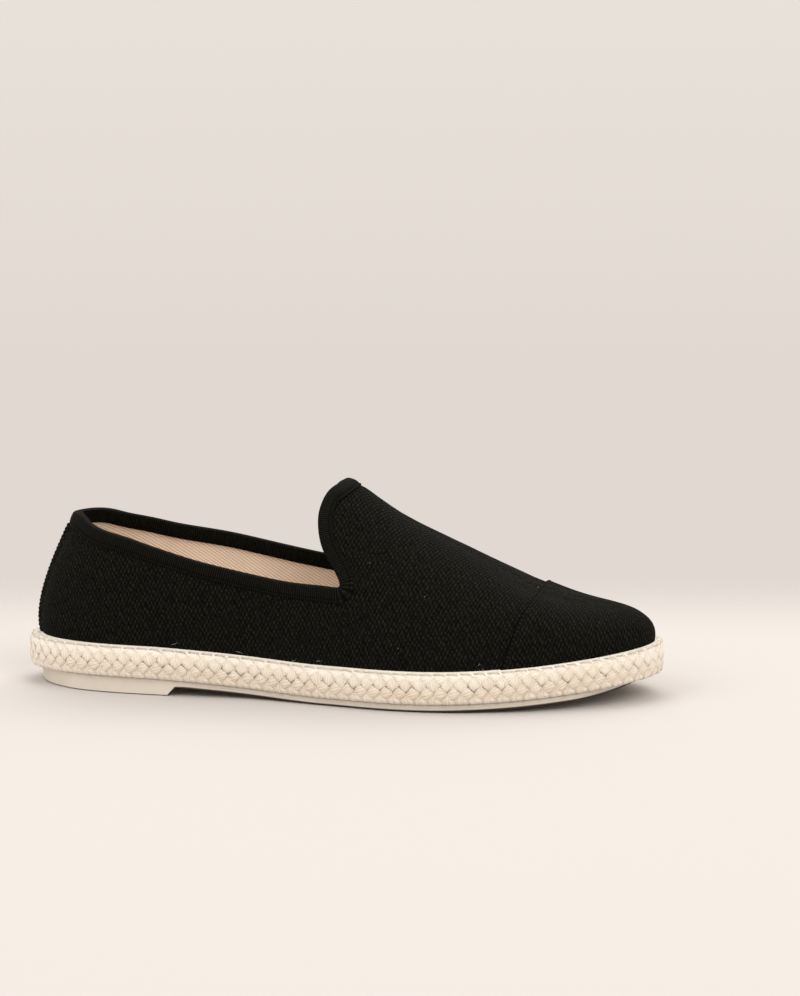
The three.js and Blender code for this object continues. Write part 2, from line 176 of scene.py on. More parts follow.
# How far the crest is raised between its two sides, so that no hollow runs along it.
CREST_FILL = (
    # x, lift
    (0.048, 0.0),
    (0.058, 0.0005),
    (0.071, 0.0013),
    (0.082, 0.0019),
    (0.091, 0.0021),
    (0.1, 0.0013),
    (0.106, 0.0004),
    (0.111, 0.0),
)

# Half the width of the strip in which the opening passes from one side's height to the other's.
MIDDLE = 0.01
LAST_COLUMNS = 520
LAST_ROWS = 48
EDGE_SAMPLES = 4000
LINE_SAMPLES = 260
LINE_CHUNK = 4000
CAP_SAMPLES = 260
TAPE_SAMPLES = 900
RING_STEPS = 360
NUDGE = 1e-4
WELD = 2e-6

# How often, and how far at a time, points are moved towards a line.
SETTLE_ROUNDS = 5
SETTLE_REACH = 0.002
# Rows of the last, as shares of the way up, where the ridge's touches and the crest's filling begin.
TOUCH_START = 0.35
FILL_START = 0.82

# How steeply the rows of the weave climb towards the toe against the line where canvas meets plait.
CLOTH_TILT = 0.2

# How flat the folds of the plait are pressed at its foot and top.
PRESSED = 0.94

# Lengths over which the outsole's ends are drawn in, and over which its rows follow them.
HEEL_EASE = 0.034
TOE_EASE = 0.036
HEEL_FOLLOW = 0.045
TOE_FOLLOW = 0.06
OUTSOLE_COLUMNS = 220
# How near to the breast of the heel the columns stand that keep it crisp, and the angle in degrees
# that stays sharp.
CORNER = 2e-4
SHARP = 35
# How much of the outsole's rounding shows under the worn heel, and the length to where all of it does.
WORN = 0.4
WORN_EASE = 0.004

# How much each strand wavers: in height, in pitches along the plait, and as a share of its width.
WAVER_UP = 0.0004
WAVER_ALONG = 0.14
WAVER_WIDE = 0.16
# How light a strand is: everywhere, where it stands out, at the top of the plait and at its ends.
# Lighter where it stands out and darker where it passes under is painted light and shade, and the
# lighter rope at heel and toe is painted light.
LIGHT_BASE = 0.24
PAINTED_LIGHT_OUT = 0.3
LIGHT_TOP = 0.75
PAINTED_LIGHT_ENDS = 0.45

# Solid core behind the strands: how much deeper than its depth, at which share of the plait's height,
# and how light it is, its darker middle rows painted shade where it shows between the strands.
CORE_SIDE = (
    # beyond, up, light
    (0.001, 0.0, 1.0),
    (0.0, 0.12, 1.0),
    (0.0, 0.32, 0.9),
    (0.0, 0.4, 0.3),
    (0.0, 0.66, 0.3),
    (0.0, 0.74, 0.9),
    (0.0, 0.86, 1.0),
    (0.0006, 0.985, 1.0),
)
CORE_INSIDE = 0.02
# Depth of the core behind the sole's edge, in half thicknesses of a strand.
CORE_DEPTH = 1.3
# Painted shade of the core between the strands: how much darker than the rope, in red, green and blue.
CORE_GAP_SHADE = (0.42, 0.36, 0.3)
# Dark rim under the rubber: painted contact shadow, with some dirt.
SHADE_AND_GRIME = (0.045, 0.03, 0.019)
# Welt that closes the gap under the canvas: inset from the line where canvas meets plait.
WELT = (
    # inset, up, light
    (-0.0014, 0.99, 1.0),
    (-0.0005, 1.02, 1.0),
    (0.0003, 1.037, 1.0),
    (0.0011, 1.037, 1.0),
    (0.0018, 0.99, 1.0),
)
# Length over which the welt moves out to pass under the toe cap.
WELT_STEP = 0.004

# Turned edge of the toe cap, from the upper out and on to its face.
CAP_TURNED = 0.0016
CAP_EDGE = (
    # share of the cap's reach, ahead of its line, how dark: painted shadow along the seam, and a painted
    # highlight on the lip where below zero
    (0.05, -0.0001, 1.0),
    (0.55, 0.0, 1.0),
    (1.05, 0.0004, 0.75),
    (1.22, 0.0009, -0.35),
    (1.0, CAP_TURNED, 0.0),
)

# Rounded edge of the insole.
INSOLE_EDGE = (
    # inward, share of its thickness
    (0.0, 0.0),
    (0.0, 0.8),
    (0.0006, 1.0),
    (0.008, 1.0),
    (0.016, 1.0),
)

# How far the edge of the heel strip frays with the weave, as a share of its thickness.
FRAY = 0.4
STRIP_STEPS = 200
# Turns and climb within which the strip lies, and how often each is halved to find its edges.
STRIP_TURNS = 0.04
STRIP_CLIMB = 0.8
TURN_HALVINGS = 22
CLIMB_HALVINGS = 18

# Outer leaf of the tape, from its lower edge up.
TAPE_LEAF = (
    # share of the tape's reach, above the lower edge
    (0.36, 0.0001),
    (0.58, 0.0004),
    (0.66, 0.001),
    (0.52, 0.0015),
    (0.78, 0.002),
    (0.98, 0.0034),
)
TAPE_EDGE_ROW = 8
TAPE_MIDDLE = 300

# Softboxes and what they face.
SOFTBOXES = (
    # name, place, size, power
    ("overhead_softbox", (0.05, 0.75, 1.35), 1.3, 13),
    ("left_softbox", (-1.0, -0.95, 1.35), 1.2, 10.5),
    ("right_softbox", (1.0, -0.95, 1.35), 1.2, 10.5),
)
LIGHT_TARGET = (0, 0, 0.03)
LIGHT_TINT = (1.0, 0.975, 0.95)

CAMERA_PLACE = (0.281885, -1.491835, 0.312201)
CAMERA_AIM = (-0.1668054, 0.97488458, -0.14756695)
SENSOR_WIDTH = 36.0

# Where the floor fades into the backdrop: between two distances behind the shoe, the way the camera
# faces, and all round from a distance to a share of the floor's half width.
FACING = (-0.1686, 0.9857)
FADE_BEHIND = (0.1, 0.3)
FADE_ROUND = (0.7, 0.95)
# Heights of view between which the backdrop passes to its upper colour.
BACKDROP_BLEND = (-0.11, 0.0)

# Fuzz along the plait.
PLAIT_SEED = 7
FIBRE_SEED = 11
FUZZ_COUNT = 3600
# Heights on the plait where fuzz grows, as shares of its own, and how much of the fuzz is there.
FUZZ_UP = (0.97, 0.9, 0.6, 0.3)
FUZZ_SHARES = (0.55, 0.25, 0.12, 0.08)
FUZZ_INWARD = 0.0036
FUZZ_LENGTH = (0.0008, 0.0017)
HAIR_RADIUS = 0.00009
LINT_RADIUS = 0.00004

# Single fibres: four along the plait near those of the photo, two at the foot of the toe cap where
# the photo has a fleck, and eight more bits of lint.
LOOSE_FIBRES = (
    # x, side, height above the plait, length, slant
    (-0.0715, -1, 0.0022, 0.003, 0.3),
    (-0.041, -1, 0.0012, 0.0034, -0.2),
    (-0.016, -1, 0.0006, 0.0026, 0.5),
    (-0.003, -1, 0.0012, 0.0028, 0.1),
    (0.069, -1, 0.0022, 0.0011, 0.8),
    (0.07, -1, 0.0018, 0.0009, -0.6),
    (0.104, -1, 0.0262, 0.0012, 0.9),
    (0.045, -1, 0.031, 0.0009, 0.4),
    (0.018, -1, 0.045, 0.0008, -0.3),
    (0.034, -1, 0.0105, 0.001, 1.2),
    (0.088, -1, 0.0185, 0.0008, 0.1),
    (0.118, -1, 0.0145, 0.0007, 0.6),
    (0.052, 1, 0.0185, 0.001, 0.3),
    (-0.06, 1, 0.0022, 0.0024, 0.2),
)


def length(name, description, default):
    settings = {"min": 0.0, "unit": "LENGTH", "precision": 5}
    return FloatProperty(name=name, description=description, default=default, **settings)


def colour(name, description, default):
    settings = {"size": 3, "min": 0.0, "max": 1.0, "subtype": "COLOR"}
    return FloatVectorProperty(name=name, description=description, default=default, **settings)


class EspadrilleSole(bpy.types.PropertyGroup):
    """Sizes of the plait, outsole and insole."""

    length: length("Length", "Length of the sole over the plait", 0.288)
    width: length("Width", "Width of the sole over the plait", 0.103)
    plait_height: length("Plait height", "Height of the side of the plait", 0.0134)
    strand_pitch: length("Strand pitch", "Distance from one strand to the next along the plait", 0.0059)
    strand_thickness: length("Strand thickness", "Thickness of one flat strand", 0.0013)
    strand_width: length("Strand width", "Width of one flat strand", 0.0052)
    outsole_thickness: length("Outsole thickness", "Thickness of the rubber under the plait", 0.0035)
    outsole_inset: length("Outsole inset", "How far the rubber stays inside the plait", 0.003)
    outsole_bevel: length("Outsole bevel", "Rounding of the rubber's lower edge", 0.0011)
    heel_lift: length("Heel lift", "Height of the moulded heel", 0.004)
    heel_block: length("Heel block", "Length of the moulded heel", 0.072)
    breast_slant: length("Breast slant", "How far the heel's front leans back at the floor", 0.0035)
    heel_inset: length("Heel inset", "How much further inside the plait the back of the heel stays", 0.0022)
    heel_taper: length("Heel taper", "How much further it stays inside at the floor", 0.0014)
    toe_inset: length("Toe inset", "How much further inside the rubber's front stays", 0.0095)
    toe_spring: length("Toe spring", "How far the toe is off the floor", 0.0074)
    insole_thickness: length("Insole thickness", "Thickness of the insole", 0.003)
    strands: IntProperty(name="Strands", description="Strands in the plait", default=5, min=3)


class EspadrilleUpper(bpy.types.PropertyGroup):
    """Sizes of the canvas upper, with heights above the line where it meets the plait."""

    heel_ledge: length("Heel ledge", "Plait left showing behind the heel", 0.0062)
    side_ledge: length("Side ledge", "Plait left showing at the sides", 0.0046)
    toe_ledge: length("Toe ledge", "Plait left showing before the toe", 0.0054)
    ledge_taper: length("Ledge taper", "Length over which the ledge widens at either end", 0.04)
    wall: length("Canvas wall", "Thickness of canvas and lining together", 0.0018)
    instep: length("Instep height", "Height that the sections are shares of", 0.08)
    collar: length("Collar height", "Height of the back of the opening", 0.054)
    throat: length("Throat height", "Height of the corner of the opening", 0.0326)
    tongue: length("Tongue height", "Height of the tip of the tongue", 0.0756)
    sweep: length("Tongue sweep", "How far the tongue leans back over the throat", 0.012)
    heel_ridge: length("Heel ridge", "Distance from the heel to the end of the ridge", 0.034)
    toe_ridge: length("Toe ridge", "Distance from the toe to the end of the ridge", 0.026)
    ridge_shift: length("Ridge shift", "How far the ridge lies towards the inner side", 0.003)


class EspadrilleTrim(bpy.types.PropertyGroup):
    """Sizes of the tape, toe cap, heel strip and weaves."""

    gap: length("Gap", "Space left between the layers", 0.0003)
    tape_width: length("Tape width", "Width of the tape's outer leaf", 0.0066)
    tape_thickness: length("Tape thickness", "Thickness of the folded tape", 0.0009)
    tape_seam: length("Tape seam", "Distance of the stitched line from the tape's edge", 0.0019)
    tape_rib: length("Tape rib", "Distance from one rib of the tape to the next", 0.001)
    cap_thickness: length("Toe cap thickness", "Thickness of the toe cap", 0.0008)
    cap_height: length("Toe cap height", "Height of the back edge of the toe cap", 0.03)
    strip_width: length("Heel strip width", "Width of the strip up the heel", 0.013)
    strip_thickness: length("Heel strip thickness", "Thickness of the strip up the heel", 0.0009)
    weave_along: length("Weave along", "Half the distance from one knot of the weave to the next", 0.00097)
    weave_across: length("Weave across", "Distance from one row of knots to the next", 0.00182)
    twill: length("Twill rib", "Distance from one rib of the lining to the next", 0.0019)


class EspadrilleColours(bpy.types.PropertyGroup):
    """Colours of the finishes."""

    # Mixed by the weave: the hollow colour is painted shade between the threads, the thread colour a
    # painted highlight on their crests.
    canvas: colour("Canvas", "Hollows of the black canvas", (0.0008, 0.0008, 0.0005))
    canvas_thread: colour("Canvas thread", "Threads of the black canvas", (0.0196, 0.0195, 0.0145))
    tape: colour("Tape", "Black ribbed tape", (0.0062, 0.0062, 0.0044))
    # The plait's finish mixes these two by painted light and shade: the darker rope in hollows and where a
    # strand passes under, the lighter one where it stands out and at heel and toe.
    plait: colour("Plait", "Rope of the plait in its hollows", (0.68, 0.53, 0.37))
    plait_light: colour("Plait light", "Rope of the plait on its crests", (0.97, 0.92, 0.82))
    rubber: colour("Rubber", "Off-white rubber of the outsole", (0.76, 0.7, 0.61))
    lining: colour("Lining", "Beige twill of the lining", (0.86, 0.71, 0.57))


class EspadrilleStage(bpy.types.PropertyGroup):
    """Floor, surroundings, lights and camera."""

    floor: colour("Floor", "Pale floor", (0.61, 0.588, 0.572))
    surroundings: colour("Surroundings", "Pale backdrop near the floor", (0.752, 0.692, 0.638))
    sky: colour("Upper surroundings", "Pale backdrop at the top of the frame", (0.815, 0.755, 0.704))
    floor_size: length("Floor size", "Half the width of the floor", 1.4)
    lens: FloatProperty(name="Lens", description="Focal length", default=124.83, unit="CAMERA")


def sole():
    return bpy.context.scene.espadrille_sole


def upper():
    return bpy.context.scene.espadrille_upper


def trim():
    return bpy.context.scene.espadrille_trim


def colours():
    return bpy.context.scene.espadrille_colours


def smoothstep(x, low, high):
    t = np.clip((x - low) / (high - low), 0, 1)
    return t * t * (3 - 2 * t)


def unit(vectors):
    return vectors / np.maximum(np.linalg.norm(vectors, axis=-1, keepdims=True), 1e-12)


def hermite(start, end, leaving, arriving, share):
    """Point at a share of the way from start to end on a cubic with those two slopes."""
    bend = 3 * (end - start) - 2 * leaving - arriving
    twist = 2 * (start - end) + leaving + arriving
    return start + share * (leaving + share * (bend + share * twist))


def round_curve(points, turns):
    """Points at shares of the way round a closed smooth curve."""
    place = (np.asarray(turns, float) % 1) * len(points)
    i = np.floor(place).astype(int)
    before, here, after, beyond = (points[(i + k) % len(points)] for k in (-1, 0, 1, 2))
    return hermite(here, after, (after - before) / 2, (beyond - here) / 2, (place - i)[:, None])


def open_curve(points, count):
    """Points along an open smooth curve whose bends follow the spacing of its points."""
    points = np.asarray(points, float)
    points = np.vstack([2 * points[0] - points[1], points, 2 * points[-1] - points[-2]])
    place = np.linspace(0, len(points) - 3, count)
    i = np.minimum(np.floor(place).astype(int), len(points) - 4)
    a, b, c, d = (points[i + k] for k in range(4))
    spans = ((a, b), (b, c), (c, d))
    ab, bc, cd = (np.sqrt(np.linalg.norm(q - p, axis=1, keepdims=True)) for p, q in spans)
    leaving = ((b - a) / ab - (c - a) / (ab + bc) + (c - b) / bc) * bc
    arriving = ((c - b) / bc - (d - b) / (bc + cd) + (d - c) / cd) * bc
    return hermite(b, c, leaving, arriving, (place - i)[:, None])


def rise(x):
    """Height of the underside of the outsole sheet."""
    s = sole()
    along = (x + s.length / 2) / s.length
    toe = np.maximum(0, (along - SPRING_START) / (1 - SPRING_START))
    return s.heel_lift * (1 - smoothstep(along, WAIST_START, WAIST_END)) + s.toe_spring * toe**SPRING_POWER


def plait_bottom(x):
    return rise(x) + sole().outsole_thickness + trim().gap


def feather_height(x):
    return plait_bottom(x) + sole().plait_height + trim().gap


def travelled(points):
    """Distance travelled along a line of points, at each of them."""
    return np.concatenate([[0], np.cumsum(np.linalg.norm(np.diff(points, axis=0), axis=1))])


class SoleEdge:
    """Outer edge of the plait seen from above, from the heel up the lateral side and back."""

    def __init__(self):
        s = sole()
        rows = np.array(SOLE_OUTLINE)
        points = np.vstack([rows[:, [0, 1]] * (1, -1), rows[-2:0:-1, [0, 2]]]) * (s.length, s.width)
        rough = round_curve(points, np.linspace(0, 1, EDGE_SAMPLES))
        low, high = rough.min(0), rough.max(0)
        self.points = (points - (low + high) / 2) * (s.length, s.width) / (high - low)
        self.turns = np.linspace(0, 1, EDGE_SAMPLES + 1)
        self.travel = travelled(round_curve(self.points, self.turns))

    def turn_at(self, travel):
        """Turn at a distance travelled round the edge."""
        return np.interp(travel % self.travel[-1], self.travel, self.turns)

    def frame(self, turns):
        """Points on the edge, and the directions that face into the sole there."""
        turns = np.asarray(turns, float)
        ahead = unit(round_curve(self.points, turns + NUDGE) - round_curve(self.points, turns - NUDGE))
        return round_curve(self.points, turns), np.stack([-ahead[:, 1], ahead[:, 0]], 1)

    def at(self, turns, inset=0.0):
        points, inward = self.frame(turns)
        return points + inward * np.reshape(inset, (-1, 1))

    def feather(self, turns, inset=0.0):
        """The line where canvas meets plait, whose ledge is wider at heel and toe."""
        u = upper()
        half = sole().length / 2
        x = self.at(turns)[:, 0]
        heel = (u.heel_ledge - u.side_ledge) * (1 - smoothstep(x + half, 0, u.ledge_taper))
        toe = (u.toe_ledge - u.side_ledge) * (1 - smoothstep(half - x, 0, u.ledge_taper))
        return self.at(turns, u.side_ledge + heel + toe + inset)


def section_value(along, column):
    rows = np.array(UPPER_SECTIONS)
    x, y = rows[:, 0], rows[:, column]
    k = np.arange(len(x))
    before, after = np.maximum(k - 1, 0), np.minimum(k + 1, len(x) - 1)
    slopes = (y[after] - y[before]) / (x[after] - x[before])
    i = np.clip(np.searchsorted(x, along) - 1, 0, len(x) - 2)
    span = x[i + 1] - x[i]
    share = np.clip((along - x[i]) / span, 0, 1)
    return hermite(y[i], y[i + 1], slopes[i] * span, slopes[i + 1] * span, share)


class Last:
    """The form that the upper is drawn over: columns of points from the feather line to the ridge."""

    def __init__(self):
        edge, u = SoleEdge(), upper()
        turns = np.arange(LAST_COLUMNS) / LAST_COLUMNS
        half = np.minimum(turns, 1 - turns)
        outer, inner = edge.feather(half), edge.feather(1 - half)
        heel_x, toe_x = edge.feather([0.0])[0, 0], edge.feather([0.5])[0, 0]
        middle = (outer + inner) / 2
        along = (middle[:, 0] - heel_x) / (toe_x - heel_x)
        foot = self.raised(edge.feather(turns), 0)
        crown_x = heel_x + u.heel_ridge + along * (toe_x - u.toe_ridge - heel_x - u.heel_ridge)
        crown_y = middle[:, 1] + u.ridge_shift * np.sin(along * math.pi)
        crown = self.raised(np.stack([crown_x, crown_y], 1), section_value(along, CROWN) * u.instep)

        def handle(inward, upward):
            point = foot + (crown - foot) * inward[:, None]
            point[:, 2] = foot[:, 2] + (crown[:, 2] - foot[:, 2]) * upward
            return point[:, None]

        low = handle(section_value(along, BULGE), section_value(along, RISE))
        high = handle(section_value(along, SHOULDER), 1 - section_value(along, DROP))
        t = np.linspace(0, 1, LAST_ROWS + 1)[None, :, None]
        ends = foot[:, None] * (1 - t) ** 3 + crown[:, None] * t**3
        self.points = ends + 3 * t * (1 - t) * (low * (1 - t) + high * t)
        touches = np.array(RIDGE_TOUCHES)
        lift = np.interp(self.points[..., 0], touches[:, 0], touches[:, 1])
        self.points[..., 2] += lift * smoothstep(t[..., 0], TOUCH_START, 1)
        fill = np.array(CREST_FILL)
        filled = np.interp(crown_x, fill[:, 0], fill[:, 1])
        self.points[..., 2] += filled[:, None] * smoothstep(t[..., 0], FILL_START, 1)
        self.out = self.outward()
        self.edge = edge

    @staticmethod
    def raised(flat, above):
        return np.column_stack([flat, feather_height(flat[:, 0]) + above])

    def outward(self):
        """Unit directions that face out of the form."""
        points = self.points
        twin = -np.arange(LAST_COLUMNS) % LAST_COLUMNS
        ahead = np.roll(points, -1, 0) - np.roll(points, 1, 0)
        above = np.concatenate([points[:, 1:], points[twin, -2:-1]], 1)
        below = np.concatenate([points[:, :1], points[:, :-1]], 1)
        out = np.cross(ahead, above - below)
        for end in (0, LAST_COLUMNS // 2):
            out[end, -1] = np.cross(ahead[end, -2], points[end, -1] - points[end, -2])
        out[:, 0, 2] = 0
        out = unit(out)
        out[:, -1] = out[:, -1] + out[twin, -1]
        return unit(out)

    def at(self, places, offset=0.0):
        """Points at places, each a turn and a climb, moved out by an offset.

        A climb over 1 goes down the other side.
        """
        over = places[:, 1] > 1
        climb = np.clip(np.where(over, 2 - places[:, 1], places[:, 1]), 0, 1) * LAST_ROWS
        turn = np.where(over, -places[:, 0], places[:, 0]) % 1 * LAST_COLUMNS
        i, j = np.floor(turn).astype(int) % LAST_COLUMNS, np.minimum(climb.astype(int), LAST_ROWS - 1)
        s, t = (turn - np.floor(turn))[:, None], (climb - j)[:, None]
        nxt = (i + 1) % LAST_COLUMNS

        def blend(grid):
            low = grid[i, j] * (1 - s) + grid[nxt, j] * s
            return low * (1 - t) + (grid[i, j + 1] * (1 - s) + grid[nxt, j + 1] * s) * t

        return blend(self.points) + unit(blend(self.out)) * np.reshape(offset, (-1, 1))

    def slopes(self, places, offset):
        """How points move with their turn and with their climb."""
        step = (1 / LAST_COLUMNS, 1 / LAST_ROWS)
        moves = []
        for axis in (0, 1):
            nudge = np.zeros(2)
            nudge[axis] = step[axis]
            move = self.at(places + nudge, offset) - self.at(places - nudge, offset)
            moves.append(move / (2 * step[axis]))
        return moves

    def cloth(self):
        """Places of the grid's points along and up the cloth, for the lateral and the medial half."""
        half = LAST_COLUMNS // 2
        halves = []
        for columns in (np.arange(half + 1), np.arange(LAST_COLUMNS, half - 1, -1) % LAST_COLUMNS):
            points = self.points[columns]
            up = np.linalg.norm(np.diff(points, axis=1), axis=2)
            up = np.concatenate([np.zeros((half + 1, 1)), np.cumsum(up, 1)], 1)
            foot = points[:, 0]
            round_edge = travelled(foot)
            waist = int(np.argmin(np.abs(foot[:, 0])))
            along = points[..., 0] + (round_edge - round_edge[waist] - foot[:, 0])[:, None]
            halves.append((along, up - CLOTH_TILT * along))
        return halves


class SideLine:
    """A line drawn across the side of the shoe, with how much higher it lies on the inner side."""

    def __init__(self, points):
        self.line = open_curve(points, LINE_SAMPLES)

    def above(self, points):
        """How far points lie above or behind the line seen from the side, and the way there."""
        share = np.clip(points[:, 1] / (2 * MIDDLE) + 0.5, 0, 1)
        distance = np.zeros(len(points))
        way = np.zeros((len(points), 3))
        for weight, lift in ((1 - share, 0.0), (share, 1.0)):
            line = self.line[:, [0, 2]].copy()
            line[:, 1] += lift * self.line[:, 1]
            found, normal = side_distance(points[:, [0, 2]], line)
            distance += weight * found
            way[:, [0, 2]] += weight[:, None] * normal
        return distance, way


def side_distance(points, line):
    """Signed distance of flat points from a line, positive on its left, and the line's left there."""
    start, along = line[:-1], np.diff(line, axis=0)
    square = (along**2).sum(1)
    left = unit(np.stack([-along[:, 1], along[:, 0]], 1))
    distance = np.empty(len(points))
    normal = np.empty((len(points), 2))
    for low in range(0, len(points), LINE_CHUNK):
        part = points[low : low + LINE_CHUNK]
        off = part[:, None] - start[None]
        share = np.clip((off * along).sum(2) / square, 0, 1)
        gap = np.linalg.norm(off - share[..., None] * along, axis=2)
        near = gap.argmin(1)
        row = np.arange(len(part))
        side = np.sign((off[row, near] * left[near]).sum(1))
        distance[low : low + LINE_CHUNK] = gap[row, near] * side
        normal[low : low + LINE_CHUNK] = left[near]
    return distance, normal


def collar_line():
    """Edge of the canvas round the opening."""
    s, u = sole(), upper()
    throat_x = (THROAT_ALONG - 0.5) * s.length
    heel_z = feather_height(-s.length / 2) + u.collar
    throat_z = feather_height(throat_x) + u.throat
    tongue_z = feather_height(throat_x) + u.tongue
    fall = heel_z - throat_z
    points = []
    for way, drop, medial in TOP_LINE:
        x = -s.length / 2 + way * (throat_x + s.length / 2)
        points.append((x, medial * fall, heel_z - drop * fall))
    for climb, back in VAMP_EDGE:
        points.append((throat_x - back * u.sweep, 0.0, throat_z + climb * (tongue_z - throat_z)))
    return SideLine(points)


def cap_line():
    """Back edge of the toe cap, run downwards so that the cap lies on its left."""
    s = sole()
    points = []
    for along, up in reversed(CAP_SEAM):
        x = (along - 0.5) * s.length
        points.append((x, 0.0, feather_height(x) + up * trim().cap_height))
    return SideLine(points)


def settle(last, line, places, offset, target):
    """Moves places over the last until they lie at a distance above the line."""
    for _ in range(SETTLE_ROUNDS):
        value, way = line.above(last.at(places, offset))
        turn, climb = last.slopes(places, offset)
        tt, tc, cc = (turn * turn).sum(1), (turn * climb).sum(1), (climb * climb).sum(1)
        gt, gc = (turn * way).sum(1), (climb * way).sum(1)
        spread = np.maximum(tt * cc - tc * tc, 1e-18)
        step = np.stack([cc * gt - tc * gc, tt * gc - tc * gt], 1) / spread[:, None]
        gain = np.maximum(step[:, 0] * gt + step[:, 1] * gc, 1e-6)
        reach = SETTLE_REACH / np.sqrt(gain)
        move = np.clip((target - value) / gain, -reach, reach)
        places = places + step * move[:, None]
    return places


def follow(links):
    """Chains of keys from their links, each from one open end to the other."""
    chains, seen = [], set()
    for start in [key for key, joined in links.items() if len(joined) == 1]:
        if start in seen:
            continue
        chain, before = [start], None
        while True:
            onward = [key for key in links[chain[-1]] if key != before]
            if not onward:
                break
            before = chain[-1]
            chain.append(onward[0])
        seen.update(chain)
        chains.append(chain)
    return chains


def contour(last, line, count):
    """Evenly spaced places, in order, where a line crosses the last."""
    value = line.above(last.points.reshape(-1, 3))[0].reshape(LAST_COLUMNS, LAST_ROWS + 1)
    sign = value > 0
    crossing, links = {}, {}

    def edge(a, b):
        key = (a, b) if a < b else (b, a)
        if key not in crossing:
            near, far = (value[c % LAST_COLUMNS, r] for c, r in key)
            share = near / (near - far)
            crossing[key] = [key[0][k] + share * (key[1][k] - key[0][k]) for k in (0, 1)]
        return key

    def on_ridge(key):
        return key[0][1] == key[1][1] == LAST_ROWS

    nxt = np.roll(sign, -1, 0)
    total = sign[:, :-1].astype(int) + sign[:, 1:] + nxt[:, :-1] + nxt[:, 1:]
    for c, r in np.argwhere((total > 0) & (total < 4)).tolist():
        corners = [(c, r), (c + 1, r), (c + 1, r + 1), (c, r + 1)]
        cut = []
        for a, b in zip(corners, corners[1:] + corners[:1]):
            if sign[a[0] % LAST_COLUMNS, a[1]] != sign[b[0] % LAST_COLUMNS, b[1]]:
                cut.append(edge(a, b))
        for a, b in zip(cut[::2], cut[1::2]):
            links.setdefault(a, []).append(b)
            links.setdefault(b, []).append(a)
    wrapped = {}
    for key in list(links):
        if key[0][0] == LAST_COLUMNS and key[1][0] == LAST_COLUMNS:
            wrapped[key] = tuple((0, r) for _, r in key)
    for key, same in wrapped.items():
        links.setdefault(same, []).extend(links.pop(key))
        for other in links[same]:
            links[other] = [same if k == key else k for k in links[other]]
    chains = sorted(follow(links), key=len, reverse=True)
    first = chains[0]
    joined = [first]
    if on_ridge(first[0]) != on_ridge(first[-1]):
        other = next(c for c in chains[1:] if on_ridge(c[0]) or on_ridge(c[-1]))
        first = first[::-1] if on_ridge(first[0]) else first
        joined = [first, other if on_ridge(other[0]) else other[::-1]]
    places = []
    for chain in joined:
        grid = np.array([crossing[key] for key in chain])
        grid[:, 0] = np.unwrap(grid[:, 0], period=LAST_COLUMNS)
        places.append(grid / (LAST_COLUMNS, LAST_ROWS))
    places = np.vstack(places)
    travel = travelled(last.at(places))
    even = np.linspace(0, travel[-1], count)
    return np.stack([np.interp(even, travel, places[:, k]) for k in (0, 1)], 1)


def strip(last, line, places, profile):
    """Rows of points along a line, each at its own distance off the last and above the line."""
    rows = []
    for offset, above in profile:
        places = settle(last, line, places, offset, above)
        rows.append(last.at(places, offset))
    return np.array(rows)


def grid_faces(rows, columns, closed=False):
    """Faces of a grid of points held row by row."""
    faces = []
    for r in range(rows - 1):
        for c in range(columns if closed else columns - 1):
            d = (c + 1) % columns
            faces.append((r * columns + c, r * columns + d, (r + 1) * columns + d, (r + 1) * columns + c))
    return faces


def trimmed(points, cloth, faces, keep):
    """The part of a mesh where keep is positive, cut through its faces."""
    points, cloth = list(points), list(cloth)
    crossing = {}

    def cut(a, b):
        key = (a, b) if a < b else (b, a)
        if key not in crossing:
            share = keep[key[0]] / (keep[key[0]] - keep[key[1]])
            crossing[key] = len(points)
            points.append(points[key[0]] + share * (points[key[1]] - points[key[0]]))
            cloth.append(cloth[key[0]] + share * (cloth[key[1]] - cloth[key[0]]))
        return crossing[key]

    inside = keep > 0
    kept = []
    for face in faces:
        flags = [inside[i] for i in face]
        if all(flags):
            kept.append(face)
        elif any(flags):
            outline = []
            for i, j in zip(face, face[1:] + face[:1]):
                if inside[i]:
                    outline.append(i)
                if inside[i] != inside[j]:
                    outline.append(cut(i, j))
            kept.append(tuple(outline))
    used = sorted({i for face in kept for i in face})
    number = {old: new for new, old in enumerate(used)}
    faces = [tuple(number[i] for i in face) for face in kept]
    return np.array([points[i] for i in used]), np.array([cloth[i] for i in used]), faces


def skin(last, offset, keep):
    """The cloth of the last at an offset, in two halves that meet at the ridge, where keep is positive."""
    half = LAST_COLUMNS // 2
    sides = (np.arange(half + 1), np.arange(LAST_COLUMNS, half - 1, -1) % LAST_COLUMNS)
    points, cloth, faces = [], [], []
    for columns, (along, up) in zip(sides, last.cloth()):
        part = (last.points + offset * last.out)[columns].reshape(-1, 3)
        flat = np.stack([along, up], 2).reshape(-1, 2)
        quads = grid_faces(half + 1, LAST_ROWS + 1)
        if columns is sides[0]:
            quads = [face[::-1] for face in quads]
        part, flat, quads = trimmed(part, flat, quads, keep(part))
        base = sum(len(p) for p in points)
        faces += [tuple(i + base for i in face) for face in quads]
        points.append(part)
        cloth.append(flat)
    return np.vstack(points), np.vstack(cloth), faces


